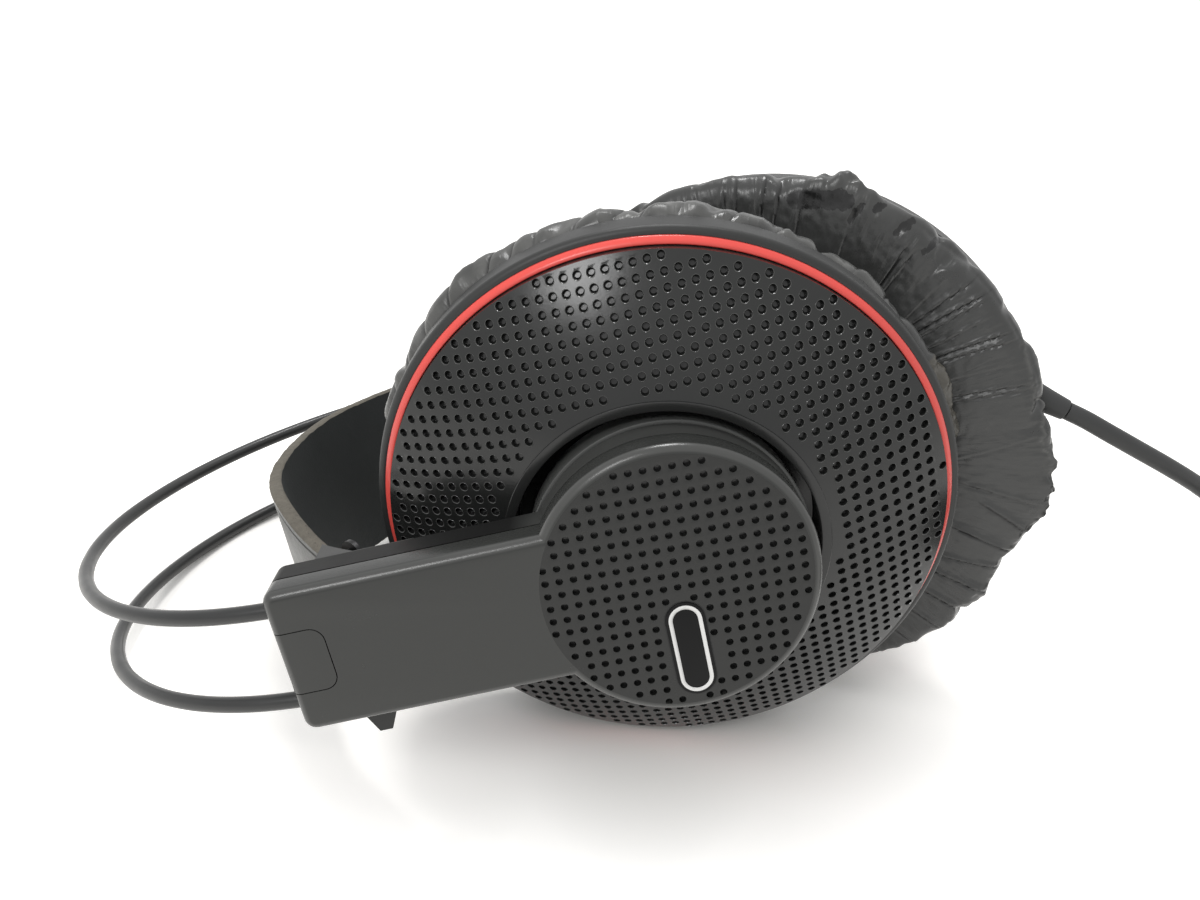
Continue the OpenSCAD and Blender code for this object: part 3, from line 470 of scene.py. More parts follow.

# inner half of each arm: painted shade, dark along the arm and plain at the disc
armBackPaintedShade = {
    "plain": (0.045, 0.046, 0.044),
    "dark": (0.006, 0.006, 0.006),
    "from": 0.0195,
    "to": 0.0235,
    "most": 0.88,
}
for side in sides:
    look = material(side + "BackPlastic", armBackPaintedShade["plain"], 0.45, *mouldedArm, shine(0.1))
    tree, shader, bump, place = parts(look)
    row = flatMatrix(side).inverted()[1]  # gives the way along the arm
    along = addNode(tree, "VectorMath", {0: place, 1: row[:3]}, operation="DOT_PRODUCT").outputs["Value"]
    low, high = [armBackPaintedShade[end] - row[3] / 1000 for end in ("from", "to")]
    paintOver(tree, shader, armBackPaintedShade["dark"], ramp(tree, along, low, high, armBackPaintedShade["most"]))
    dress(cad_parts[side + "_arm_back"], look)

# camera
view = {
    "at": (0.006807, -0.182404, 0.154845),
    "right": (0.99598, 0.04569, 0.07704),
    "up": (-0.08957, 0.50801, 0.85668),
    "lens": 32.18,
    "sensor": 36,
    "clip": 0.01,
}
clearSelection()
bpy.ops.object.camera_add(location=view["at"])
camera = bpy.context.object
camera.name = "camera"
rightWay = Vector(view["right"]).normalized()
upWay = Vector(view["up"]).normalized()
camera.rotation_euler = Matrix((rightWay, upWay, rightWay.cross(upWay))).transposed().to_euler()
camera.data.lens = view["lens"]
camera.data.sensor_width = view["sensor"]
camera.data.clip_start = view["clip"]
bpy.context.scene.camera = camera
print("camera set")

# cord: free run, coil and lead to the plug
cordSize = {
    "radius": 1.7,
    "run": [
        (92.4504, -3.67036, 66.2822), (95.878, -4.61467, 65.2576), (100.51, -5.6, 63.4), (107.64, -5.4, 60.1),
        (115.64, -4.2, 56.1), (124.14, -2.2, 51.2), (132.14, 0.2, 45.4), (139.14, 2.1, 38.5),
        (145.14, 3.38, 30.5), (150.14, 4.38, 22), (155.64, 4.88, 14), (161.64, 5.38, 7.5),
        (167.64, 5.68, 3.9), (172.24, 5.7675, 2.7), (175.24, 5.7675, 2.7),
    ],
    "coilCentre": (178.64, -24.12),
    "inner": 10.9125,
    "outer": 29.8875,
    "turns": 4.125,
    "layers": 4,
    "layerSpan": 4.625,
    "rise": 3.95,
    "base": 2.7,
    "lead": [
        (182.04, 5.7675, 14.55), (185.04, 5.7675, 14.55), (190.64, 5.28, 14), (197.14, 3.88, 12.8),
        (203.64, 0.38, 10.8), (209.14, -5.12, 8.8), (213.14, -11.62, 6.8), (215.24, -17.12, 5.2),
        (215.64, -20.12, 4.5), (215.64, -22.12, 4.5),
    ],
    "stepsPerTurn": 24,
    "stepsPerPoint": 3,
    "bends": (2, 30),  # a span of steps along the free run
}


def coilPoint(q):
    c = cordSize
    layer = min(int(q / c["layerSpan"]), c["layers"] - 1)
    s = q - layer * c["layerSpan"]
    along = min(s / c["turns"], 1)
    climb = 0
    if layer < c["layers"] - 1:
        climb = max(0, (s - c["turns"]) / (c["layerSpan"] - c["turns"]))
    climb = climb * climb * (3 - 2 * climb)
    share = along if layer % 2 else 1 - along
    r = c["inner"] + share * (c["outer"] - c["inner"])
    a = radians(90 - 360 * q)
    x, y = c["coilCentre"]
    return (x + r * cos(a), y + r * sin(a), c["base"] + c["rise"] * (layer + climb))


coilTurns = (cordSize["layers"] - 1) * cordSize["layerSpan"] + cordSize["turns"]
coilSteps = ceil(cordSize["stepsPerTurn"] * coilTurns)
coil = [coilPoint(coilTurns * i / coilSteps) for i in range(coilSteps + 1)]
run = spline(cordSize["run"], cordSize["stepsPerPoint"])
lead = spline([coil[-1]] + cordSize["lead"], cordSize["stepsPerPoint"])
cordPath = [tuple(c / 1000 for c in p) for p in run[:-1] + coil + lead[1:]]
cable = tube("cableCord", cordPath, cordSize["radius"] / 1000, 3)
finishPiece(cable, None, ["cable", "cable_coil", "plug_lead"], cableRubber)
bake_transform(cable)

plug = {"at": cordSize["lead"][-1], "bands": ((28.6, 29.2), (32.2, 32.8)), "pin": 1.7, "radius": 1.765}
bands = []
for a, b in plug["bands"]:
    bandOutline = [(plug["pin"], a), (plug["radius"], a), (plug["radius"], b), (plug["pin"], b)]
    bands.append(lathe("jackBands", bandOutline, 32))
jackBands = settle(joinInto(*bands), shift(*plug["at"]) @ turn("X", 90))
finishPiece(jackBands, "left_ball", [], rubber)

# perforated sheets: one square cell with a round pit, repeated
cellSides = 12
rimWidth = 0.02


def selectLastRing(cell):
    edit(cell, "DESELECT")
    leave()
    first = len(cell.data.vertices) - cellSides
    for e in cell.data.edges:
        e.select = min(e.vertices) >= first
    for i, v in enumerate(cell.data.vertices):
        v.select = i >= first
    bpy.ops.object.mode_set(mode="EDIT")


def pitCell(name, spec):
    cell = start(name, bpy.ops.mesh.primitive_circle_add, vertices=cellSides, radius=1, fill_type="NOTHING")
    half = spec["pitch"] / 2
    angles = [radians((i + 0.5) * 360 / cellSides) for i in range(cellSides)]
    setPoints(cell, [Vector((cos(a), sin(a), 0)) * (half / max(abs(cos(a)), abs(sin(a)))) for a in angles])
    for r, z in spec["rings"]:
        selectLastRing(cell)
        bpy.ops.mesh.extrude_edges_move()
        leave()
        co = points(cell)
        way = np.arctan2(co[-cellSides:, 1], co[-cellSides:, 0])
        co[-cellSides:] = np.stack([r * np.cos(way), r * np.sin(way), np.full(cellSides, z)], 1)
        setPoints(cell, co)
    selectLastRing(cell)
    bpy.ops.mesh.edge_face_add()
    bpy.ops.mesh.select_all(action="SELECT")
    bpy.ops.mesh.normals_make_consistent(inside=False)
    leave()
    return cell


def trimSheet(sheet, insideR, outsideR):
    co = points(sheet)
    r = np.hypot(co[:, 0], co[:, 1])
    edit(sheet, "DESELECT")
    bpy.ops.mesh.select_mode(type="FACE")
    leave()
    for f in sheet.data.polygons:
        fr = r[list(f.vertices)]
        f.select = bool(np.all(fr >= outsideR) or np.all(fr <= insideR))
    bpy.ops.object.mode_set(mode="EDIT")
    bpy.ops.mesh.delete(type="FACE")
    bpy.ops.mesh.select_mode(type="VERT")
    leave()


def perforated(name, spec, hasHole, insideR, outsideR, lift):
    sheet = pitCell(name, spec)
    pitch = spec["pitch"]
    reach = ceil((outsideR + hypot(*spec["origin"])) / pitch) + 1
    for axis in (0, 1):
        array = sheet.modifiers.new("row", "ARRAY")
        array.use_relative_offset = False
        array.use_constant_offset = True
        array.constant_offset_displace = [pitch if k == axis else 0 for k in range(3)]
        array.count = 2 * reach + 1
        array.use_merge_vertices = True
        array.merge_threshold = 0.01
    applyModifiers(sheet)
    co = points(sheet)
    co[:, :2] -= reach * pitch
    index = np.rint(co[:, :2] / pitch)
    c, s = cos(radians(spec["turn"])), sin(radians(spec["turn"]))
    rotate = np.array([[c, -s], [s, c]])
    centres = index @ rotate.T * pitch + np.array(spec["origin"])
    co[:, :2] = co[:, :2] @ rotate.T + np.array(spec["origin"])
    holed = np.array([hasHole(x, y) for x, y in centres])
    ring = np.linalg.norm(co[:, :2] - centres, axis=1)
    # a thin ring round each pit's rim: painted highlight
    setValues(sheet, "rim", np.exp(-((ring - spec["rim"]) / rimWidth) ** 2) * holed * spec["rimHighlight"])
    co[~holed, 2] = 0
    setPoints(sheet, co)
    trimSheet(sheet, insideR, outsideR)
    co = points(sheet)
    r = np.maximum(np.hypot(co[:, 0], co[:, 1]), 1e-9)
    co[:, :2] *= (np.clip(r, insideR, outsideR) / r)[:, None]
    # darker towards each pit's floor: painted shade
    setValues(sheet, "pit", np.clip(co[:, 2] / min(z for _, z in spec["rings"]), 0, 1))
    co[:, 2] += lift(np.hypot(co[:, 0], co[:, 1]))
    setPoints(sheet, co)
    edit(sheet)
    bpy.ops.mesh.remove_doubles(threshold=0.01)
    bpy.ops.mesh.dissolve_degenerate(threshold=0.004)
    leave()
    return smooth(sheet, 24)


# dome cover of a cup
dome = {
    "centre": -69.329,
    "radius": 85.2826,
    "edge": 47.65,
    "lip": 26.9,
    "lipWidth": 1.7,
    "lipTop": 12.0,
    "lipFoot": 0.1,
    "lipRound": 0.28,
    "dishFloor": 5.4,
    "groove": (18.6, 1.5),
    "socket": 9,
    "ballHole": 5.1,
    "skirt": {"low": -1.5, "wall": 1.8, "inside": 0.4, "round": 0.2},
    "holes": (28.35, 47.0),
    "sheet": {
        "pitch": 2.2,
        "turn": 1.8,
        "origin": (0.79, -0.34),
        "rim": 0.72,
        "rimHighlight": 1,
        "rings": [(0.78, 0), (0.72, 0.05), (0.63, -0.09), (0.55, -0.85)],
    },
}


def domeHeight(r):
    return np.sqrt(dome["radius"] ** 2 - r ** 2) + dome["centre"]


def domeHole(x, y):
    return dome["holes"][0] <= hypot(x, y) <= dome["holes"][1]


def lipOutline():
    outer, inner = dome["lip"], dome["lip"] - dome["lipWidth"]
    grooveWall, grooveFloor = dome["groove"]
    floor, top = dome["dishFloor"], lying["ballHeight"]
    return [
        (outer, float(domeHeight(outer)) - dome["lipFoot"]), (outer, dome["lipTop"]), (inner, dome["lipTop"]),
        (inner, grooveFloor), (grooveWall, grooveFloor), (grooveWall, floor),
        (dome["socket"], floor), (dome["socket"], top), (dome["ballHole"], top),
    ]


def skirtOutline():
    skirt, edge = dome["skirt"], dome["edge"]
    inner = edge - skirt["wall"]
    top, low = float(domeHeight(edge)), skirt["low"]
    return [(edge, top), (edge, low), (inner, low), (inner, skirt["inside"])]


domeSheet = perforated("domeSheet", dome["sheet"], domeHole, dome["lip"], dome["edge"], domeHeight)
domeLip = lathe("domeLip", rounded(lipOutline(), dome["lipRound"], 3))
domeSkirt = lathe("domeSkirt", rounded(skirtOutline(), dome["skirt"]["round"], 2))
domeSheet = joinInto(domeSheet, domeSkirt)
bothSides(domeLip, "Dish", cupMatrix, "cup", [], dishPlastic)
bothSides(domeSheet, "Dome", cupMatrix, "cup", ["dome_cover"], domePlastic)
print("domes made")

# trim ring and shell of a cup
trim = {
    "outline": [
        (47.75, -1.4), (47.75, -0.2), (48.0, -0.15), (48.35, -0.3), (48.85, -0.8), (49, -1.05), (49, -1.4),
    ],
    "round": 0.2,
}
trimRing = lathe("trimRing", rounded(trim["outline"], trim["round"], 3), 192)
bothSides(trimRing, "TrimRing", cupMatrix, "cup", ["trim_ring"], trimRed)

shell = {
    "rim": 50.4,
    "bore": 46.4,
    "top": -1.5,
    "front": -7.1,
    "ledge": 44.4,
    "ledgeLow": -3.2,
    "seat": (49.05, 0.25),
    "shoulder": (1.2, 0.95),
    "edge": 0.3,
}


def shellOutline():
    rim, bore, top, front, ledge = [shell[key] for key in ("rim", "bore", "top", "front", "ledge")]
    seat, step = shell["seat"]
    bend, drop = shell["shoulder"]
    out = [(ledge, top), (seat, top), (seat, top + step)]
    out += arc((rim - bend, top - drop), bend, 88, 0, 8)
    out += [(rim, front + shell["edge"]), (rim - shell["edge"], front), (bore, front)]
    return out + [(bore, shell["ledgeLow"]), (ledge, shell["ledgeLow"]), (ledge, top)]


shellRing = lathe("shellRing", shellOutline(), 192)
bothSides(shellRing, "Shell", cupMatrix, "cup", ["cup_shell"], shellPlastic)
print("rings made")

# outer cover of an arm, with its grille
armSize = {
    "disc": 22.4,
    "half": 12.3,
    "length": 62,
    "corner": 2,
    "depth": 5.2,
    "edge": 1.5,
    # heights and amount of the painted highlight along the rounded edge
    "wearAndHighlight": (-1.2, -0.1, 0.5),
    "seam": 0.34,
    "wall": 1.6,
    "grille": 21.0,
    "pocket": {"floor": -1.4, "height": 4},
    "holeReach": 20.7,
    "badge": (-11.3, 0),
    "badgeLong": 16.5,
    "badgeWide": 6.4,
    "badgeMargin": 0.75,
    "wires": (7.3, -9.1),
    "wireHole": {"radius": 1.5, "depth": 12, "at": 60},
    "gap": {"inset": 0.12, "low": 0.02, "high": 0.3},
    "sheet": {
        "pitch": 2.18,
        "turn": -1.97,
        "origin": (-0.5, 0.1),
        "rim": 0.61,
        "rimHighlight": 0.5,
        "rings": [(0.66, 0), (0.61, -0.012), (0.56, -0.1), (0.52, -0.95)],
    },
}


def armOutline(inset=0.0):
    w, d, n = armSize["half"] - inset, armSize["disc"] - inset, armSize["length"] - inset
    c = armSize["corner"] - inset
    join = sqrt(d * d - w * w)
    out = [(w, join + (n - c - join) * i / 24) for i in range(24)]
    out += arc((w - c, n - c), c, 0, 90, 6)
    out += [(w - c - 2 * (w - c) * i / 12, n) for i in range(1, 12)]
    out += arc((c - w, n - c), c, 90, 180, 6)
    out += [(-w, n - c - (n - c - join) * i / 24) for i in range(1, 24)]
    a = atan2(join, w)
    turns = [pi - a + (pi + 2 * a) * i / 168 for i in range(168)]
    return out + [(d * cos(t), d * sin(t)) for t in turns]


def cylinder(name, corners, radius, depth, at, turned=(0, 0, 0)):
    settings = {"vertices": corners, "radius": radius, "depth": depth, "location": at, "rotation": turned}
    return start(name, bpy.ops.mesh.primitive_cylinder_add, **settings)


# the lighter line along the edge is a painted highlight
def paintEdgeHighlight(obj):  # a lighter line along the rounded edge
    low, high, amount = armSize["wearAndHighlight"]
    height = points(obj)[:, 2]
    setValues(obj, "rim", np.where((height > low) & (height < high), amount, 0.0))


def grilleHole(x, y):
    bx, by = armSize["badge"]
    h = (armSize["badgeLong"] - armSize["badgeWide"]) / 2
    fromBadge = hypot(max(abs(x - bx) - h, 0), y - by)
    clear = armSize["badgeWide"] / 2 + armSize["badgeMargin"]
    return hypot(x, y) <= armSize["holeReach"] and fromBadge > clear


# panel let into the end of each arm
panel = {"half": (-5.25, 5.25), "from": 54.4, "to": 62, "past": 2, "corner": 2.2, "seam": 0.16, "above": 3}


def panelOutline(grow):
    a, b = panel["half"][0] - grow, panel["half"][1] + grow
    lo, c = panel["from"] - grow, panel["corner"] + grow
    hi = panel["to"] + panel["past"]
    return arc((b - c, lo + c), c, -90, 0, 6) + [(b, hi), (a, hi)] + arc((a + c, lo + c), c, 180, 270, 6)


armTop = prism("armCover", armOutline(), -armSize["depth"], 0, armSize["edge"], 4, armSize["seam"])
armPanel = copyOf(armTop, "armPanel")
pocket, wireHole = armSize["pocket"], armSize["wireHole"]
pocketAt = (0, 0, pocket["floor"] + pocket["height"] / 2)
grillePocket = cylinder("pocket", 168, armSize["grille"], pocket["height"], pocketAt)
panelPocket = prism("panelPocket", panelOutline(panel["seam"]), -armSize["wall"], panel["above"])
wirePockets = []
for x in armSize["wires"]:
    at = (x, wireHole["at"], -armSize["depth"])
    wirePockets.append(cylinder("wirePocket", 24, wireHole["radius"], wireHole["depth"], at, (pi / 2, 0, 0)))
carve(armTop, "DIFFERENCE", grillePocket, panelPocket, *wirePockets)
carve(armPanel, "INTERSECT", prism("panelBlock", panelOutline(0), -armSize["wall"], panel["above"]))
tidyMesh(armPanel)
smooth(armPanel)
paintEdgeHighlight(armPanel)
bothSides(armPanel, "ArmPanel", flatMatrix, "arm", ["end_insert"], armPlastic)

grille = perforated("grille", armSize["sheet"], grilleHole, 0, armSize["grille"], lambda r: 0 * r)
setValues(grille, "face", np.ones(len(grille.data.vertices)))
paintEdgeHighlight(armTop)
armTop = joinInto(armTop, grille)
smooth(armTop, 28)
bothSides(armTop, "ArmCover", flatMatrix, "arm", ["arm_cover"], armPlastic)
# a black strip inside the seam between cover and back: painted shade in the gap
gap, back = armSize["gap"], -armSize["depth"]
armSeam = prism("armSeam", armOutline(gap["inset"]), back - gap["low"], back + gap["high"])
bothSides(armSeam, "ArmSeam", flatMatrix, "arm", [], blackGloss)

# collar under each disc: reaches into the dish's groove
collar = {"outside": 22.9, "inside": 20.4, "from": -10.25, "to": -16.8, "round": 0.4}
collarWay = (("inside", "from"), ("outside", "from"), ("outside", "to"), ("inside", "to"), ("inside", "from"))
collarOutline = [(collar[across], collar[height]) for across, height in collarWay]
collarRing = lathe("collar", rounded(collarOutline, collar["round"], 3), 168)
# the collar's paler plastic is painted light
bothSides(collarRing, "Collar", flatMatrix, "arm", [], collarPaintedLight)
print("arms made")

# badge: a bare black pill with a white outline
badgeSize = {
    "long": 16.3,
    "wide": 6.2,
    "low": -0.3,
    "top": 0.24,
    "edge": 0.1,
    "line": {"long": 15.3, "wide": 5.2, "thick": 0.62, "sunk": 0.05, "raised": 0.03},
    "shadow": {"grow": 0.42, "top": 0.02},
}


def pill(long, wide, grow=0.0, n=16):  # its long way lies across the arm
    x, y = armSize["badge"]
    r, h = (wide + grow) / 2, (long - wide) / 2
    return arc((x + h, y), r, -90, 90, n) + arc((x - h, y), r, 90, 270, n)


long, wide, low, top = [badgeSize[key] for key in ("long", "wide", "low", "top")]
badgeBody = prism("badge", pill(long, wide), low, top, badgeSize["edge"], 3)
bothSides(badgeBody, "Badge", flatMatrix, "arm", ["badge"], blackGloss)
shadow, line = badgeSize["shadow"], badgeSize["line"]
badgeGap = prism("badgeGap", pill(long, wide, shadow["grow"]), low, shadow["top"])
bothSides(badgeGap, "BadgeGap", flatMatrix, "arm", [], innerPlastic)
badgeLine = prism("badgeLine", pill(line["long"], line["wide"]), top - line["sunk"], top + line["raised"])
carve(badgeLine, "DIFFERENCE", prism("badgeCut", pill(line["long"], line["wide"], -2 * line["thick"]), 0, 1))
bothSides(badgeLine, "BadgeLine", flatMatrix, "arm", [], whitePaint)
print("badges made")

# strap: a flat leather band bent over the head
strapSize = {
    "side": -12,
    "top": 89,
    "rightRadius": 62.8835,
    "leftRadius": 31.9586,
    "endAngle": 23,
    "tail": 27,
    "middle": -2,
    "half": 16.5,
    "taper": (34, 7.5),
    "steps": 150,
    "section": [
        (-16.5, 0.95), (-16.3, 1.2), (-15.1, 1.2), (-14.85, 0.78), (-14.5, 0.78), (-14.25, 1.2), (-10, 1.22),
        (-5, 1.22), (0, 1.22), (5, 1.22), (10, 1.22), (14.05, 1.2), (14.3, 0.74), (14.7, 0.74), (14.95, 1.2),
        (16.25, 1.2), (16.5, 0.95), (16.58, 0.35), (16.55, -0.35), (16.5, -0.95), (16.3, -1.2), (10, -1.2),
        (0, -1.2), (-10, -1.2), (-16.3, -1.2), (-16.5, -0.95), (-16.56, 0),
    ],
    "edgeRows": (15, 20, 24),  # first raw edge, inner side, second raw edge
    "jag": 0.16,
    "fray": (0.12, 0.06),
    "sag": 0.25,
    "ends": ((-44, -2, 57), (45.9, -2, 57)),
}


def ease(t):
    return t * t * (3 - 2 * t)


def strapLine():  # points along the middle, each with the way out
    s = strapSize
    a0, n = radians(s["endAngle"]), s["steps"]
    first, second = s["rightRadius"] * (pi / 2 - a0), s["leftRadius"] * pi / 2
    whole = first + second + s["tail"]
    out = []
    for i in range(n + 1):
        d = whole * i / n
        if d <= first + second:
            r = s["rightRadius"] if d <= first else s["leftRadius"]
            a = a0 + d / r if d <= first else pi / 2 + (d - first) / r
            out.append((s["side"] + r * cos(a), s["top"] - r + r * sin(a), cos(a), sin(a)))
        else:
            r = s["leftRadius"]
            out.append((s["side"] - r, s["top"] - r - (d - first - second), -1, 0))
    return out


def strapPoint(line, length, step, row):
    s = strapSize
    x, z, nx, nz = line[step]
    edge, inner, far = s["edgeRows"]
    k = row % len(s["section"])
    w, t = s["section"][k]
    if edge <= k <= inner or k >= far or k < 2:  # raw edges are a little ragged
        jag = noise.noise(Vector((step * 0.9, (k // 8) * 7.3, 1.7)))
        fray = noise.noise(Vector((step * 0.31, k * 0.6, 9.1)))
        w += s["jag"] * jag + s["fray"][0] * fray
        t += s["fray"][1] * fray
    near = max(0, 1 - step / s["steps"] * length / s["taper"][0])
    if w > 0:
        w *= 1 - s["taper"][1] / s["half"] * ease(near)
    t += s["sag"] * noise.noise(Vector((step * 0.06, w * 0.08, 4.4)))
    return (x + nx * t, s["middle"] + w, z + nz * t)


line = strapLine()
strapLength = sum(hypot(b[0] - a[0], b[1] - a[1]) for a, b in zip(line, line[1:]))
rows = len(strapSize["section"])
gridSize = {"x_subdivisions": strapSize["steps"], "y_subdivisions": rows, "size": 2}
band = start("strap", bpy.ops.mesh.primitive_grid_add, **gridSize)
co = points(band)
steps = np.rint((co[:, 0] + 1) / 2 * strapSize["steps"]).astype(int)
row = np.rint((co[:, 1] + 1) / 2 * rows).astype(int)
setPoints(band, [strapPoint(line, strapLength, *place) for place in zip(steps, row)])
edge, inner, far = strapSize["edgeRows"]
for f in band.data.polygons:
    k = min(row[v] for v in f.vertices)
    raw = edge <= k < inner or k >= far or k < 1
    f.material_index = 1 if raw else (2 if inner <= k else 0)
edit(band)
bpy.ops.mesh.remove_doubles(threshold=1e-3)
bpy.ops.mesh.select_all(action="DESELECT")
bpy.ops.mesh.select_non_manifold()
bpy.ops.mesh.edge_face_add()
bpy.ops.mesh.select_all(action="SELECT")
bpy.ops.mesh.normals_make_consistent(inside=False)
leave()
smooth(band, 38)
scuffs = {"scale": 1700, "from": 0.58, "amount": 0.35, "colour": (0.15, 0.15, 0.143)}
fibres = {"scale": 1500, "from": 0.58, "amount": 0.7, "colour": (0.06, 0.055, 0.05)}
strapLooks = (
    material("leatherOuter", (0.112, 0.113, 0.108), 0.36, (1700, 0.45), (110, 0.3), 0.1, scuffs),
    material("leatherEdge", (0.15, 0.138, 0.115), 0.9, (2600, 0.8), (700, 0.45), 0.05, fibres),
    material("leatherInner", (0.038, 0.0415, 0.0415), 0.7, (2200, 0.3), (90, 0.2), 0.08, None, shine(0.25)),
)
settle(band, headMatrix())
for look in strapLooks:
    band.data.materials.append(look)
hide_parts("strap")
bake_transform(band)
print("strap made")

# the two wires of the hoop
wireSize = {
    "radius": 1.35,
    "x": -5.2,
    "heights": {"upper": 7.3, "lower": -9.1},
    "in": 28,
    "out": 58,
    "armSteps": 10,
    "hoopSteps": 60,
    "bends": 12,
}
lean = radians(lying["lean"])
wireX = lying["halfGap"] + wireSize["out"] * sin(lean) + wireSize["x"] * cos(lean)
wireZ = wireSize["out"] * cos(lean) - wireSize["x"] * sin(lean)
spanAcross = 2 * wireX / cos(lean)
drop = lying["rack"] / (1 + sin(lean))
radii = {"right": (spanAcross - drop) / 2, "left": (spanAcross + drop) / 2}
hoopTop = (wireX - radii["right"] * cos(lean), wireZ + radii["right"] * (1 + sin(lean)))


def inArm(side, y, z):
    p = Matrix.Rotation(lean, 4, "Y") @ Vector((wireSize["x"], y, z)) + Vector((lying["halfGap"], 0, 0))
    return (-p.x, p.y, p.z - lying["rack"]) if side == "left" else tuple(p)


def halfHoop(side, a0, a1):
    return arc((hoopTop[0], hoopTop[1] - radii[side]), radii[side], a0, a1, wireSize["hoopSteps"])


def wirePath(y):
    n, low, high = wireSize["armSteps"], wireSize["in"], wireSize["out"]
    step = (high - low) / n
    hoop = halfHoop("left", 180 + lying["lean"], 90) + halfHoop("right", 90, -lying["lean"])[1:]
    out = [inArm("left", y, low + step * i) for i in range(n)] + [(x, y, z) for x, z in hoop]
    return out + [inArm("right", y, high - step * i) for i in range(1, n + 1)]


for name, y in wireSize["heights"].items():
    path = wirePath(y)
    wire = settle(tube(name + "Wire", path, wireSize["radius"], 4), headMatrix())
    finishPiece(wire, None, [name + "_wire"], wireMetal)
    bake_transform(wire)
print("wires made")

# elastics hidden in the arms: the right one goes with the right arm; the left one, which stretches with the
# strap on the real pair, is left in place
elasticSize = {"x": 4.2, "z": -6.8, "from": 8.9, "to": 40, "steps": 14, "radius": 1, "stretch": (9, 40)}


def elasticPoint(y):
    return (elasticSize["x"], y, elasticSize["z"])


elasticSpan = np.linspace(elasticSize["from"], elasticSize["to"], elasticSize["steps"] + 1)
for side in sides:
    elastic = tube(side + "Elastic", [elasticPoint(y) for y in elasticSpan], elasticSize["radius"], 2)
    settle(elastic, flatMatrix(side))
    body = "right_arm" if side == "right" else None
    finishPiece(elastic, body, [side + "_elastic"], rubber)
    if side == "left":
        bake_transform(elastic)

# strain relief of the cable
relief = {
    "at": (48.111, 3, -3.9),
    "slant": 35,
    "outline": [(0, 2), (2.5, 2), (2.5, 3.2), (2.3, 5), (2.12, 7), (1.98, 8.7), (1.9, 9), (1.72, 9)],
    "round": 0.12,
}
reliefPiece = lathe("strainRelief", rounded(relief["outline"], relief["round"], 2), 40)
settle(reliefPiece, cupMatrix("left") @ shift(*relief["at"]) @ turn("Z", -relief["slant"]) @ turn("Y", 90))
finishPiece(reliefPiece, "left_cup", ["strain_relief"], cableRubber)
print("relief made")

# ear cushions: a thin black film drawn over a ring of foam
cushion = {
    "profile": [
        (48.9, -7.0), (50.4, -7.25), (51.25, -8.4), (51.3, -10.0), (50.4, -12.0), (48, -13.5), (44, -14.2),
        (39, -14.4), (34, -14.35), (30, -13.9), (27, -12.7), (25.0, -10.8), (24.2, -8.8), (24.5, -7.35),
    ],
    "rows": 24,
    "steps": 240,
    "sortFrom": ((311.3, 137.7, 211.9), (60.3, 21.7, 13.9)),  # the second parts what the first finds equal
    "scale": 0.01,  # at which the cloth is let go
    "grow": -0.07,
    "pressure": 4,
    "frames": 20,
    "cap": 1.3,
    "swell": 0.3,
    "front": -14.55,
    "floor": 0.00012,
    "gathers": {"gathers": (1.6, 0.28, 0.15), "folds": (1.1, 1.0, 0.7)},  # width, reach, middle
    "face": (0.13, 0.86, 0.06),  # shares of the way across the film
    "wall": (0.03, 0.3, 0.06),
    "lumpReach": 0.12,
}
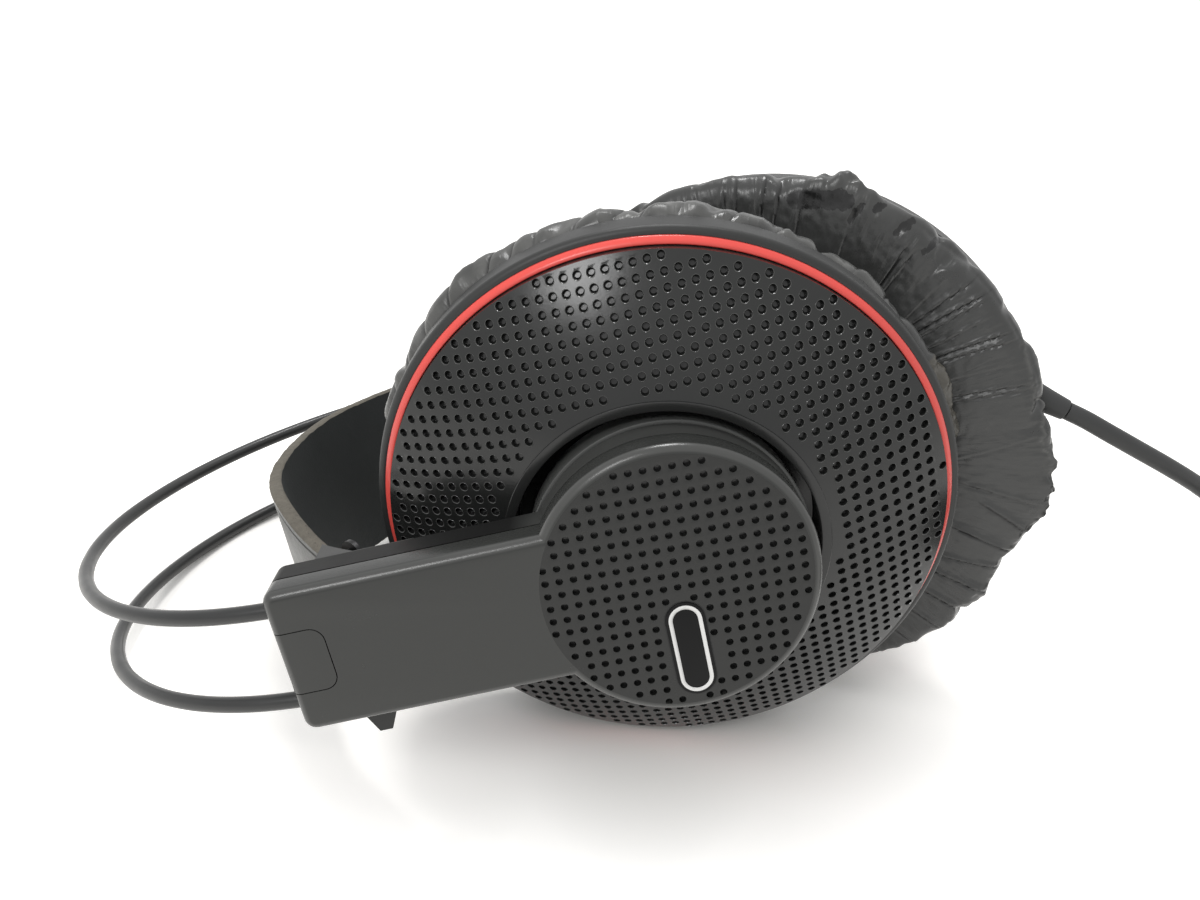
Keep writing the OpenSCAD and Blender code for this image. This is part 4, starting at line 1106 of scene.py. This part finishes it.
filmLooks = {
    "right": {
        "seed": 3,
        "gathers": (38, 0.55),
        "folds": (26, 0.3),
        "sink": 0.3,
        "pleats": (40, 0.28),
        "valleys": (
            145, 138, 131, 122.4, 112.6, 108.1, 103, 95.1, 87.3, 82.3, 75.9, 66, 57, 49, 41, 33,
            -36, -44, -55, -63, 156, 165, 172,
        ),
        "loose": (90, -180, 180),
        "creases": [],
        "skin": [],
        "strip": None,
        "lumps": [(-27, 7, 1.6, 0.12), (-12, 5, 0.8, 0.15), (75, 6, 0.7, 0.15), (118, 8, 0.6, 0.15)],
        "tears": [],
        "wearAndHighlight": (30, 165, 0.85),
        "fuzz": (0, 18),
    },
    "left": {
        "seed": 11,
        "gathers": (22, 0.4),
        "folds": (30, 0.3),
        "sink": 0.55,
        "pleats": (40, 0.3),
        "valleys": (),
        "loose": (60, 90, 290),
        "creases": [
            (48.2, 35, 48.4, 47.5, 0.9, 0.5), (46.4, 35, 46.6, 47.5, 0.8, 0.42),
            (60.9, 35, 61.5, 45.7, 0.6, 0.3), (34.8, 34, 33.4, 50.5, 0.9, 0.5),
            (32.8, 34, 29.6, 50.5, 0.9, 0.55), (30.8, 34, 28.5, 50, 0.8, 0.4),
            (36.8, 34, 37.5, 44, 0.7, 0.28), (26.5, 34, 25, 48, 0.7, 0.34),
            (23.8, 34, 20, 50.5, 0.8, 0.5), (22.2, 34, 18.1, 50.4, 0.8, 0.45),
            (16, 34, 13.5, 48, 0.6, 0.24), (10.9, 34, 8.4, 50, 0.6, 0.34), (9.3, 34, 7.4, 50, 0.6, 0.34),
            (-9.8, 34, -3.2, 49.5, 0.5, 0.22), (-16, 36, -19, 51, 1.1, 0.4),
            (-21, 42, -26.2, 51.5, 1.5, 0.75), (-30, 38, -31, 52, 1.8, 0.85),
            (-40.5, 38, -35, 51.5, 1.3, 0.75), (-44.7, 40, -41.9, 51.5, 1.4, 0.75),
            (-51, 42, -48, 52, 1.3, 0.65), (-58.4, 40, -55, 51, 1.4, 0.65),
            (-66, 40, -62, 51.5, 1.4, 0.65), (-74, 38, -70, 52, 1.4, 0.65),
            (82.3, 38, 80.2, 51, 1.6, 0.65), (78.9, 38, 77.1, 51, 1.6, 0.65),
            (73.2, 36, 72.7, 47, 1.1, 0.55), (88, 38, 86, 51, 1.6, 0.55),
        ],
        "skin": [
            (-19, 52.4), (-14, 51.2), (-8, 50.3), (-4, 49.8), (2.9, 50.9), (6, 49.7), (10.6, 49.7),
            (16.5, 50.5),
        ],
        "strip": (5, 48, 50.6),
        "lumps": [
            (64.5, 4.2, 2.8, 0.15), (69.5, 3, 1.5, 0.2), (59.5, 2.4, 1.1, 0.22), (-14, 9, 1.9, 0.2),
            (-23, 5, 1.3, 0.22), (-45.5, 5, 1.5, 0.22), (-54, 4.5, 1.1, 0.22), (-64, 5, 0.8, 0.22),
            (40, 9, -0.5, 0.2),
        ],
        "tears": [
            (73.2, 48.2, 64.0, 49.4, 1.7), (61.4, 46.7, 60.2, 49.8, 0.55), (57.6, 50, 56.2, 51, 0.55),
            (51.5, 48, 49.9, 50.6, 0.65), (44.7, 47.7, 43.7, 50.3, 0.5),
        ],
        "wearAndHighlight": (54, 74, 0.3),
        "fuzz": None,
    },
}


def around(angle, at):
    return (angle - at + 180) % 360 - 180


def between(value, low, high, soft):
    return np.clip((value - low) / soft + 0.5, 0, 1) * np.clip((high - value) / soft + 0.5, 0, 1)


def crest(d, width):  # a fold with one side steeper than the other
    return np.maximum(0, 1 - np.abs(d) / np.where(d > 0, width, 0.55 * width)) ** 1.3


def wave(co, size, seed):
    return np.array([noise.noise(Vector(p) * size + Vector((seed, 0, seed))) for p in co])


def settleFilm(piece, place, co):  # the film is let go over its foam and finds its own folds
    group = piece.vertex_groups.new(name="held")
    for i, p in enumerate(place):
        if p < 0.02 or p > 0.98:
            group.add([i], 1.0, "REPLACE")
        elif p < 0.08 or p > 0.93:
            group.add([i], 0.4, "REPLACE")
    setPoints(piece, co * cushion["scale"])
    modifier = piece.modifiers.new("film", "CLOTH")
    settings = modifier.settings
    settings.quality = 5
    settings.mass = 0.2
    settings.tension_stiffness = 20
    settings.compression_stiffness = 20
    settings.shear_stiffness = 10
    settings.bending_stiffness = 0.08
    settings.vertex_group_mass = "held"
    settings.shrink_min = cushion["grow"]
    settings.shrink_max = cushion["grow"]
    settings.use_pressure = True
    settings.uniform_pressure_force = cushion["pressure"]
    settings.effector_weights.gravity = 0
    modifier.collision_settings.use_collision = False
    for f in range(1, cushion["frames"] + 1):
        bpy.context.scene.frame_set(f)
    applyModifiers(piece)
    bpy.context.scene.frame_set(1)
    return points(piece) / cushion["scale"]


def polar(co):  # angle and radius of each point, and its way out
    r = np.hypot(co[:, 0], co[:, 1])
    outward = np.stack([co[:, 0] / r, co[:, 1] / r, np.zeros(len(co))], 1)
    return np.degrees(np.arctan2(co[:, 1], co[:, 0])), r, outward


def sortFaces(obj, places):  # spin leaves edges and faces in another order in each run
    cursor = bpy.context.scene.cursor
    edit(obj)
    for place in places:
        cursor.location = place
        bpy.ops.mesh.sort_elements(type="CURSOR_DISTANCE", elements={"EDGE", "FACE"})
    leave()
    cursor.location = (0, 0, 0)


def cushionRing(side):  # the plain ring, and how far across the film each point lies
    outline = [tuple(p)[:2] for p in spline([(*p, 0) for p in cushion["profile"]], 3)]
    lengths = np.cumsum([0] + [hypot(b[0] - a[0], b[1] - a[1]) for a, b in zip(outline, outline[1:])])
    even = np.linspace(0, lengths[-1], cushion["rows"])
    outline = np.stack([np.interp(even, lengths, [p[k] for p in outline]) for k in (0, 1)], 1)
    piece = lathe(side + "Cushion", [tuple(p) for p in outline], cushion["steps"])
    sortFaces(piece, cushion["sortFrom"])
    co = points(piece)
    flat = np.stack([np.hypot(co[:, 0], co[:, 1]), co[:, 2]], 1)
    place = np.argmin(((flat[:, None] - outline) ** 2).sum(2), 1) / (cushion["rows"] - 1)
    return piece, place


def gatherFilm(co, place, look, rng):  # soft gathers at the rim and long folds over the front
    angle, r, outward = polar(co)
    push = np.zeros(len(co))
    for kind, (width, reach, middle) in cushion["gathers"].items():
        n, depth = look[kind]
        for at in rng.uniform(-180, 180, n):
            off = around(angle, at + rng.uniform(-14, 14) * place)
            along = np.exp(-((place - rng.uniform(0, middle)) / (reach * rng.uniform(0.25, 0.6))) ** 2)
            size = depth * rng.uniform(0.4, 1.3)
            push += size * np.exp(-(off / (width * rng.uniform(0.6, 1.5))) ** 2) * along
    push *= np.clip(place / 0.03, 0, 1) * np.clip((1 - place) / 0.06, 0, 1)
    front = np.clip((place - 0.12) / 0.2, 0, 1) * np.clip((0.9 - place) / 0.2, 0, 1)
    push += look["sink"] * front
    co += (front[:, None] * (0, 0, 1) - outward * (1 - front)[:, None]) * push[:, None]


# the dark lines along the folds are painted shade
def creaseFilm(co, place, ring, look, rng):  # sharp folds over the front; gives their dark lines
    angle, r, outward = ring
    face = between(place, *cushion["face"])
    lift = np.zeros(len(co))
    creaseShade = np.zeros(len(co))
    n, low, high = look["loose"]
    creases = list(look["creases"])
    for at in rng.uniform(low, high, n):
        r0 = rng.uniform(27, 40)
        a1 = at + rng.uniform(-4, 4)
        r1 = min(51, r0 + rng.uniform(8, 16))
        creases.append((at, r0, a1, r1, rng.uniform(0.6, 1.3), rng.uniform(0.2, 0.55)))
    for a0, r0, a1, r1, width, size in creases:
        t = (r - r0) / (r1 - r0)
        off = np.radians(around(angle, a0 + (a1 - a0) * np.clip(t, -0.2, 1.2))) * r
        ends = between(t, 0, 1, 0.3)
        groove = np.exp(-((off + 0.35) / 0.28) ** 2)
        lift += size * (0.7 * crest(off, width) - 0.6 * groove) * ends
        creaseShade = np.maximum(creaseShade, 1.5 * size * groove * ends * face)
    streaks = outward * 36 + r[:, None] * (0, 0, 0.12)
    lines = np.clip(1 - 2.4 * np.abs(wave(streaks, 1, look["seed"])), 0, 1) ** 2
    lift += 0.09 * lines * np.clip(0.3 + 1.6 * wave(co, 0.09, look["seed"] + 4), 0, 1)
    co[:, 2] -= lift * face
    return creaseShade


# the lines along the valleys are painted shade
def pleatWall(co, place, ring, look, rng):  # panels swell between sharp lines; gives the lines
    angle, r, outward = ring
    wall = between(place, *cushion["wall"])
    n, size = look["pleats"]
    for at in rng.uniform(-180, 180, n):
        off = np.radians(around(angle, at + rng.uniform(-25, 25) * place)) * r
        tall = size * rng.uniform(0.3, 1)
        co += outward * (tall * crest(off, rng.uniform(1.2, 3)) * wall)[:, None]
    line = np.zeros(len(co))
    for at in look["valleys"]:
        off = np.radians(around(angle, at - rng.uniform(5, 30) * (place - 0.12))) * r
        deep = np.exp(-(off / 0.3) ** 2) * wall * rng.uniform(0.5, 1)
        co -= outward * (0.4 * deep + 0.32 * np.exp(-(off / 1.5) ** 2) * wall)[:, None]
        line = np.maximum(line, deep)
    return line


def wearFilm(co, place, ring, look):  # lumps, scuffs and loose skin along a torn edge; gives the scuffs
    angle, r, outward = ring
    crumple = 1 + 0.55 * wave(co, 0.32, 2) + 0.2 * wave(co, 0.9, 5)
    for at, width, size, middle in look["lumps"]:
        spread = np.exp(-(around(angle, at) / width) ** 2)
        spread *= np.exp(-((place - middle) / cushion["lumpReach"]) ** 2)
        co += outward * (size * crumple * spread)[:, None]
    low, high, amount = look["wearAndHighlight"]
    wearAndHighlight = between(angle, low, high, 12) * between(place, 0, 0.26, 0.1) * amount
    wearAndHighlight *= np.clip(0.75 + 0.8 * wave(co, 0.35, 8), 0, 1)
    if look["skin"]:
        edge = np.interp(angle, *zip(*look["skin"])) + 0.5 * wave(co, 0.8, 1)
        here = between(angle, look["skin"][0][0], look["skin"][-1][0], 3) * between(place, 0.06, 0.4, 0.05)
        step = 1 / (1 + np.exp(-np.clip((r - edge) / 0.1, -30, 30))) * here
        co += outward * (0.5 * step * crumple)[:, None]
        co[:, 2] -= 0.35 * step
        wearAndHighlight = np.maximum(wearAndHighlight, 0.75 * np.exp(-((r - edge - 0.15) / 0.16) ** 2) * here)
    if look["strip"]:
        a0, a1, at = look["strip"]
        here = between(angle, a0, a1, 6) * between(place, 0.1, 0.3, 0.04)
        co[:, 2] += 0.3 * np.exp(-((r - at) / 0.3) ** 2) * here
    return wearAndHighlight


def frayFilm(co, place, ring, look):  # foam that shows along the rim
    fuzz = np.zeros(len(co))
    if look["fuzz"]:
        angle, r, outward = ring
        fuzz = between(angle, *look["fuzz"], 2.5) * between(place, 0.015, 0.13, 0.03)
        co += outward * (fuzz * (1.1 + 0.5 * wave(co, 0.5, 3) + 0.35 * wave(co, 1.6, 6)))[:, None]
    return fuzz


# each tear's opening is painted near black: painted shade
def tearFilm(co, place, look):
    tearShade = np.zeros(len(co))
    here = (place < 0.5) * (place > 0.08)
    for a0, r0, a1, r1, width in look["tears"]:
        p0 = np.array([r0 * cos(radians(a0)), r0 * sin(radians(a0))])
        d = np.array([r1 * cos(radians(a1)), r1 * sin(radians(a1))]) - p0
        t = np.clip(((co[:, :2] - p0) @ d) / (d @ d), 0, 1)
        gap = np.linalg.norm(co[:, :2] - p0 - t[:, None] * d, axis=1)
        gap = gap + 0.5 * wave(co, 0.7, a0) + 0.25 * wave(co, 2, a0)
        deep = np.exp(-(gap / width) ** 2) * here
        tearShade = np.maximum(tearShade, deep)
        co[:, 2] += 0.3 * deep
    return tearShade


def cushionPiece(side):
    look = filmLooks[side]
    rng = np.random.default_rng(look["seed"])
    piece, place = cushionRing(side)
    co = points(piece)
    gatherFilm(co, place, look, rng)
    setPoints(piece, co)
    moved = settleFilm(piece, place, co) - co
    size = np.linalg.norm(moved, axis=1)
    print(side, "cushion film moved", round(float(size.max()), 2), round(float(size.mean()), 2))
    moved[:, 2] = np.maximum(moved[:, 2], -cushion["swell"])
    co = co + moved * np.minimum(1, cushion["cap"] / np.maximum(size, 1e-9))[:, None]
    setPoints(piece, co)
    setValues(piece, "alongFilm", place)
    modifier = piece.modifiers.new("finer", "SUBSURF")
    modifier.levels = 2
    modifier.render_levels = 2
    applyModifiers(piece)

    co = points(piece)
    place = np.empty(len(co))
    piece.data.attributes["alongFilm"].data.foreach_get("value", place)
    ring = polar(co)
    creaseShade = creaseFilm(co, place, ring, look, rng)
    line = pleatWall(co, place, ring, look, rng)
    wearAndHighlight = wearFilm(co, place, ring, look)
    fuzz = frayFilm(co, place, ring, look)
    tearShade = tearFilm(co, place, look)
    co[:, 2] += 0.1 * wave(co, 0.9, 0) * np.clip((place - 0.02) / 0.05, 0, 1)
    past = cushion["front"] - co[:, 2]
    co[:, 2] = np.where(past > 0, cushion["front"] - 0.2 * np.tanh(past / 0.6), co[:, 2])
    setPoints(piece, co)
    for name, values in (("tearShade", tearShade), ("wearAndHighlight", wearAndHighlight), ("fuzz", fuzz), ("line", np.maximum(line, creaseShade))):
        setValues(piece, name, values)
    way = ring[2] * 55 + ring[1][:, None] * (0, 0, 0.22)
    piece.data.attributes.new("filmWay", "FLOAT_VECTOR", "POINT").data.foreach_set("vector", way.ravel())
    smooth(piece, 60)
    settle(piece, cupMatrix(side))
    co = points(piece)
    co[:, 2] = np.maximum(co[:, 2], cushion["floor"])
    setPoints(piece, co)
    finishPiece(piece, side + "_cup", [side + "_ear_cushion"], cushionFilm)


def ragged(tree, place, value):  # an edge breaks up at a finer scale than the mesh
    return combine(tree, "MULTIPLY_ADD", cloud(tree, place, 1400, 4), 0.5, value)


flecks = {"scale": 260, "from": 0.62, "amount": 0.3, "colour": (0.08, 0.08, 0.078)}
filmGrain = ((1700, 0.12), (70, 0.22), 0.1, flecks, shine(0.5))
cushionFilm = material("cushionFilm", (0.044, 0.0448, 0.0438), 0.32, *filmGrain)
tree, shader, bump, place = parts(cushionFilm)
filmPaint = (
    ((0.12, 0.12, 0.115), attribute(tree, "wearAndHighlight"), (0.05, 1, 0.9)),
    ((0.075, 0.069, 0.056), ragged(tree, place, attribute(tree, "fuzz")), (0.55, 0.8)),
    # painted shade along creases and valleys
    ((0.008, 0.008, 0.008), attribute(tree, "line"), (0.15, 0.8, 0.85)),
    # painted shade inside the tears
    ((0.003, 0.003, 0.003), ragged(tree, place, attribute(tree, "tearShade")), (0.6, 0.66)),
)
for colour, amount, span in filmPaint:
    paintOver(tree, shader, colour, ramp(tree, amount, *span))
for vector, scale, strength in ((attribute(tree, "filmWay", "Vector"), 1, 0.2), (place, 130, 0.12)):
    shape = {"Vector": vector, "Scale": scale, "Detail": 4, "Distortion": 0.6}
    crease = addNode(tree, "TexNoise", shape, noise_type="RIDGED_MULTIFRACTAL").outputs["Fac"]
    folds = {"Height": crease, "Strength": strength, "Distance": 0.0005, "Normal": bump.outputs["Normal"]}
    bump = addNode(tree, "Bump", folds)
tree.links.new(bump.outputs["Normal"], shader.inputs["Normal"])
for side in sides:
    cushionPiece(side)
print("cushions made")

# cloth over each driver
clothSize = {"radius": 23, "front": -7.4, "back": -7.1, "sag": 0.12, "rings": 12}
clothOutline = []
for i in range(clothSize["rings"] + 1):
    share = i / clothSize["rings"]
    sag = clothSize["sag"] * (1 - share ** 2)
    clothOutline.append((clothSize["radius"] * share, clothSize["front"] + sag))
clothOutline += [(clothSize["radius"], clothSize["back"]), (0, clothSize["back"])]
clothPiece = lathe("driverCloth", clothOutline, 72)
clothPieces = bothSides(clothPiece, "DriverCloth", cupMatrix, "cup", ["driver_cloth"], cloth)
print("cloth made")

# floor, light and background
stageSize = {
    "floor": 6,
    "rough": 0.8,
    "shine": 0.2,
    "haze": 6,
    "paper": ((0.86, 0.84, 0.8, 1), (0.88, 0.865, 0.83, 1)),
    "glow": (0.7, 0.66),
    "reach": (0.3, 0.9),
    "near": 0.034,
    "nearSamples": 8,
    "nearDark": 1.8,
    "sky": 0.52,
    "white": 1.02,
    "aim": (0, 0, 0.04),
}


def seenRays(tree):  # one where the camera, a reflection or a clear pane looks
    rays = addNode(tree, "LightPath", {}).outputs
    seen = combine(tree, "MAXIMUM", rays["Is Camera Ray"], rays["Is Glossy Ray"])
    return combine(tree, "MAXIMUM", seen, rays["Is Transmission Ray"])


floorPlane = start("floor", bpy.ops.mesh.primitive_plane_add, size=stageSize["floor"], location=(0, 0, 0))
floorLook = bpy.data.materials.new("floorLook")
floorLook.use_nodes = True
tree = floorLook.node_tree
shader = tree.nodes["Principled BSDF"]
shader.inputs["Roughness"].default_value = stageSize["rough"]
shader.inputs["Specular IOR Level"].default_value = stageSize["shine"]
shader.inputs["Emission Color"].default_value = (1, 1, 1, 1)
place = addNode(tree, "TexCoord", {}).outputs["Object"]
paper = blendColours(tree, cloud(tree, place, stageSize["haze"]), *stageSize["paper"])
tree.links.new(paper, shader.inputs["Base Color"])
away = addNode(tree, "VectorMath", {0: place}, operation="LENGTH").outputs["Value"]
glow = ramp(tree, away, *stageSize["reach"], stageSize["glow"][1], stageSize["glow"][0])
near = addNode(tree, "AmbientOcclusion", {"Distance": stageSize["near"]}, samples=stageSize["nearSamples"])
shade = combine(tree, "POWER", near.outputs["AO"], stageSize["nearDark"])
lit = combine(tree, "MULTIPLY", combine(tree, "MULTIPLY", glow, shade), seenRays(tree))
tree.links.new(lit, shader.inputs["Emission Strength"])
floorPlane.data.materials.append(floorLook)

world = bpy.context.scene.world or bpy.data.worlds.new("world")
bpy.context.scene.world = world
world.use_nodes = True
tree = world.node_tree
background = tree.nodes["Background"]
bright = ramp(tree, seenRays(tree), 0, 1, stageSize["white"], stageSize["sky"])
tree.links.new(bright, background.inputs["Strength"])
background.inputs["Color"].default_value = (1, 1, 1, 1)

lamps = {
    "top": {"at": (-0.1, 0.36, 0.93), "size": 0.2, "power": 3.6},
    "front": {"at": (-0.48, -0.73, 0.82), "size": 0.32, "power": 4},
}
for name, lamp in lamps.items():
    clearSelection()
    bpy.ops.object.light_add(type="AREA", location=lamp["at"])
    light = bpy.context.object
    light.name = name + "Light"
    light.data.size = lamp["size"]
    light.data.energy = lamp["power"]
    aim = Vector(stageSize["aim"]) - Vector(lamp["at"])
    light.rotation_euler = aim.to_track_quat("-Z", "Y").to_euler()
bpy.context.scene.view_settings.view_transform = "Standard"
print("stage lit")
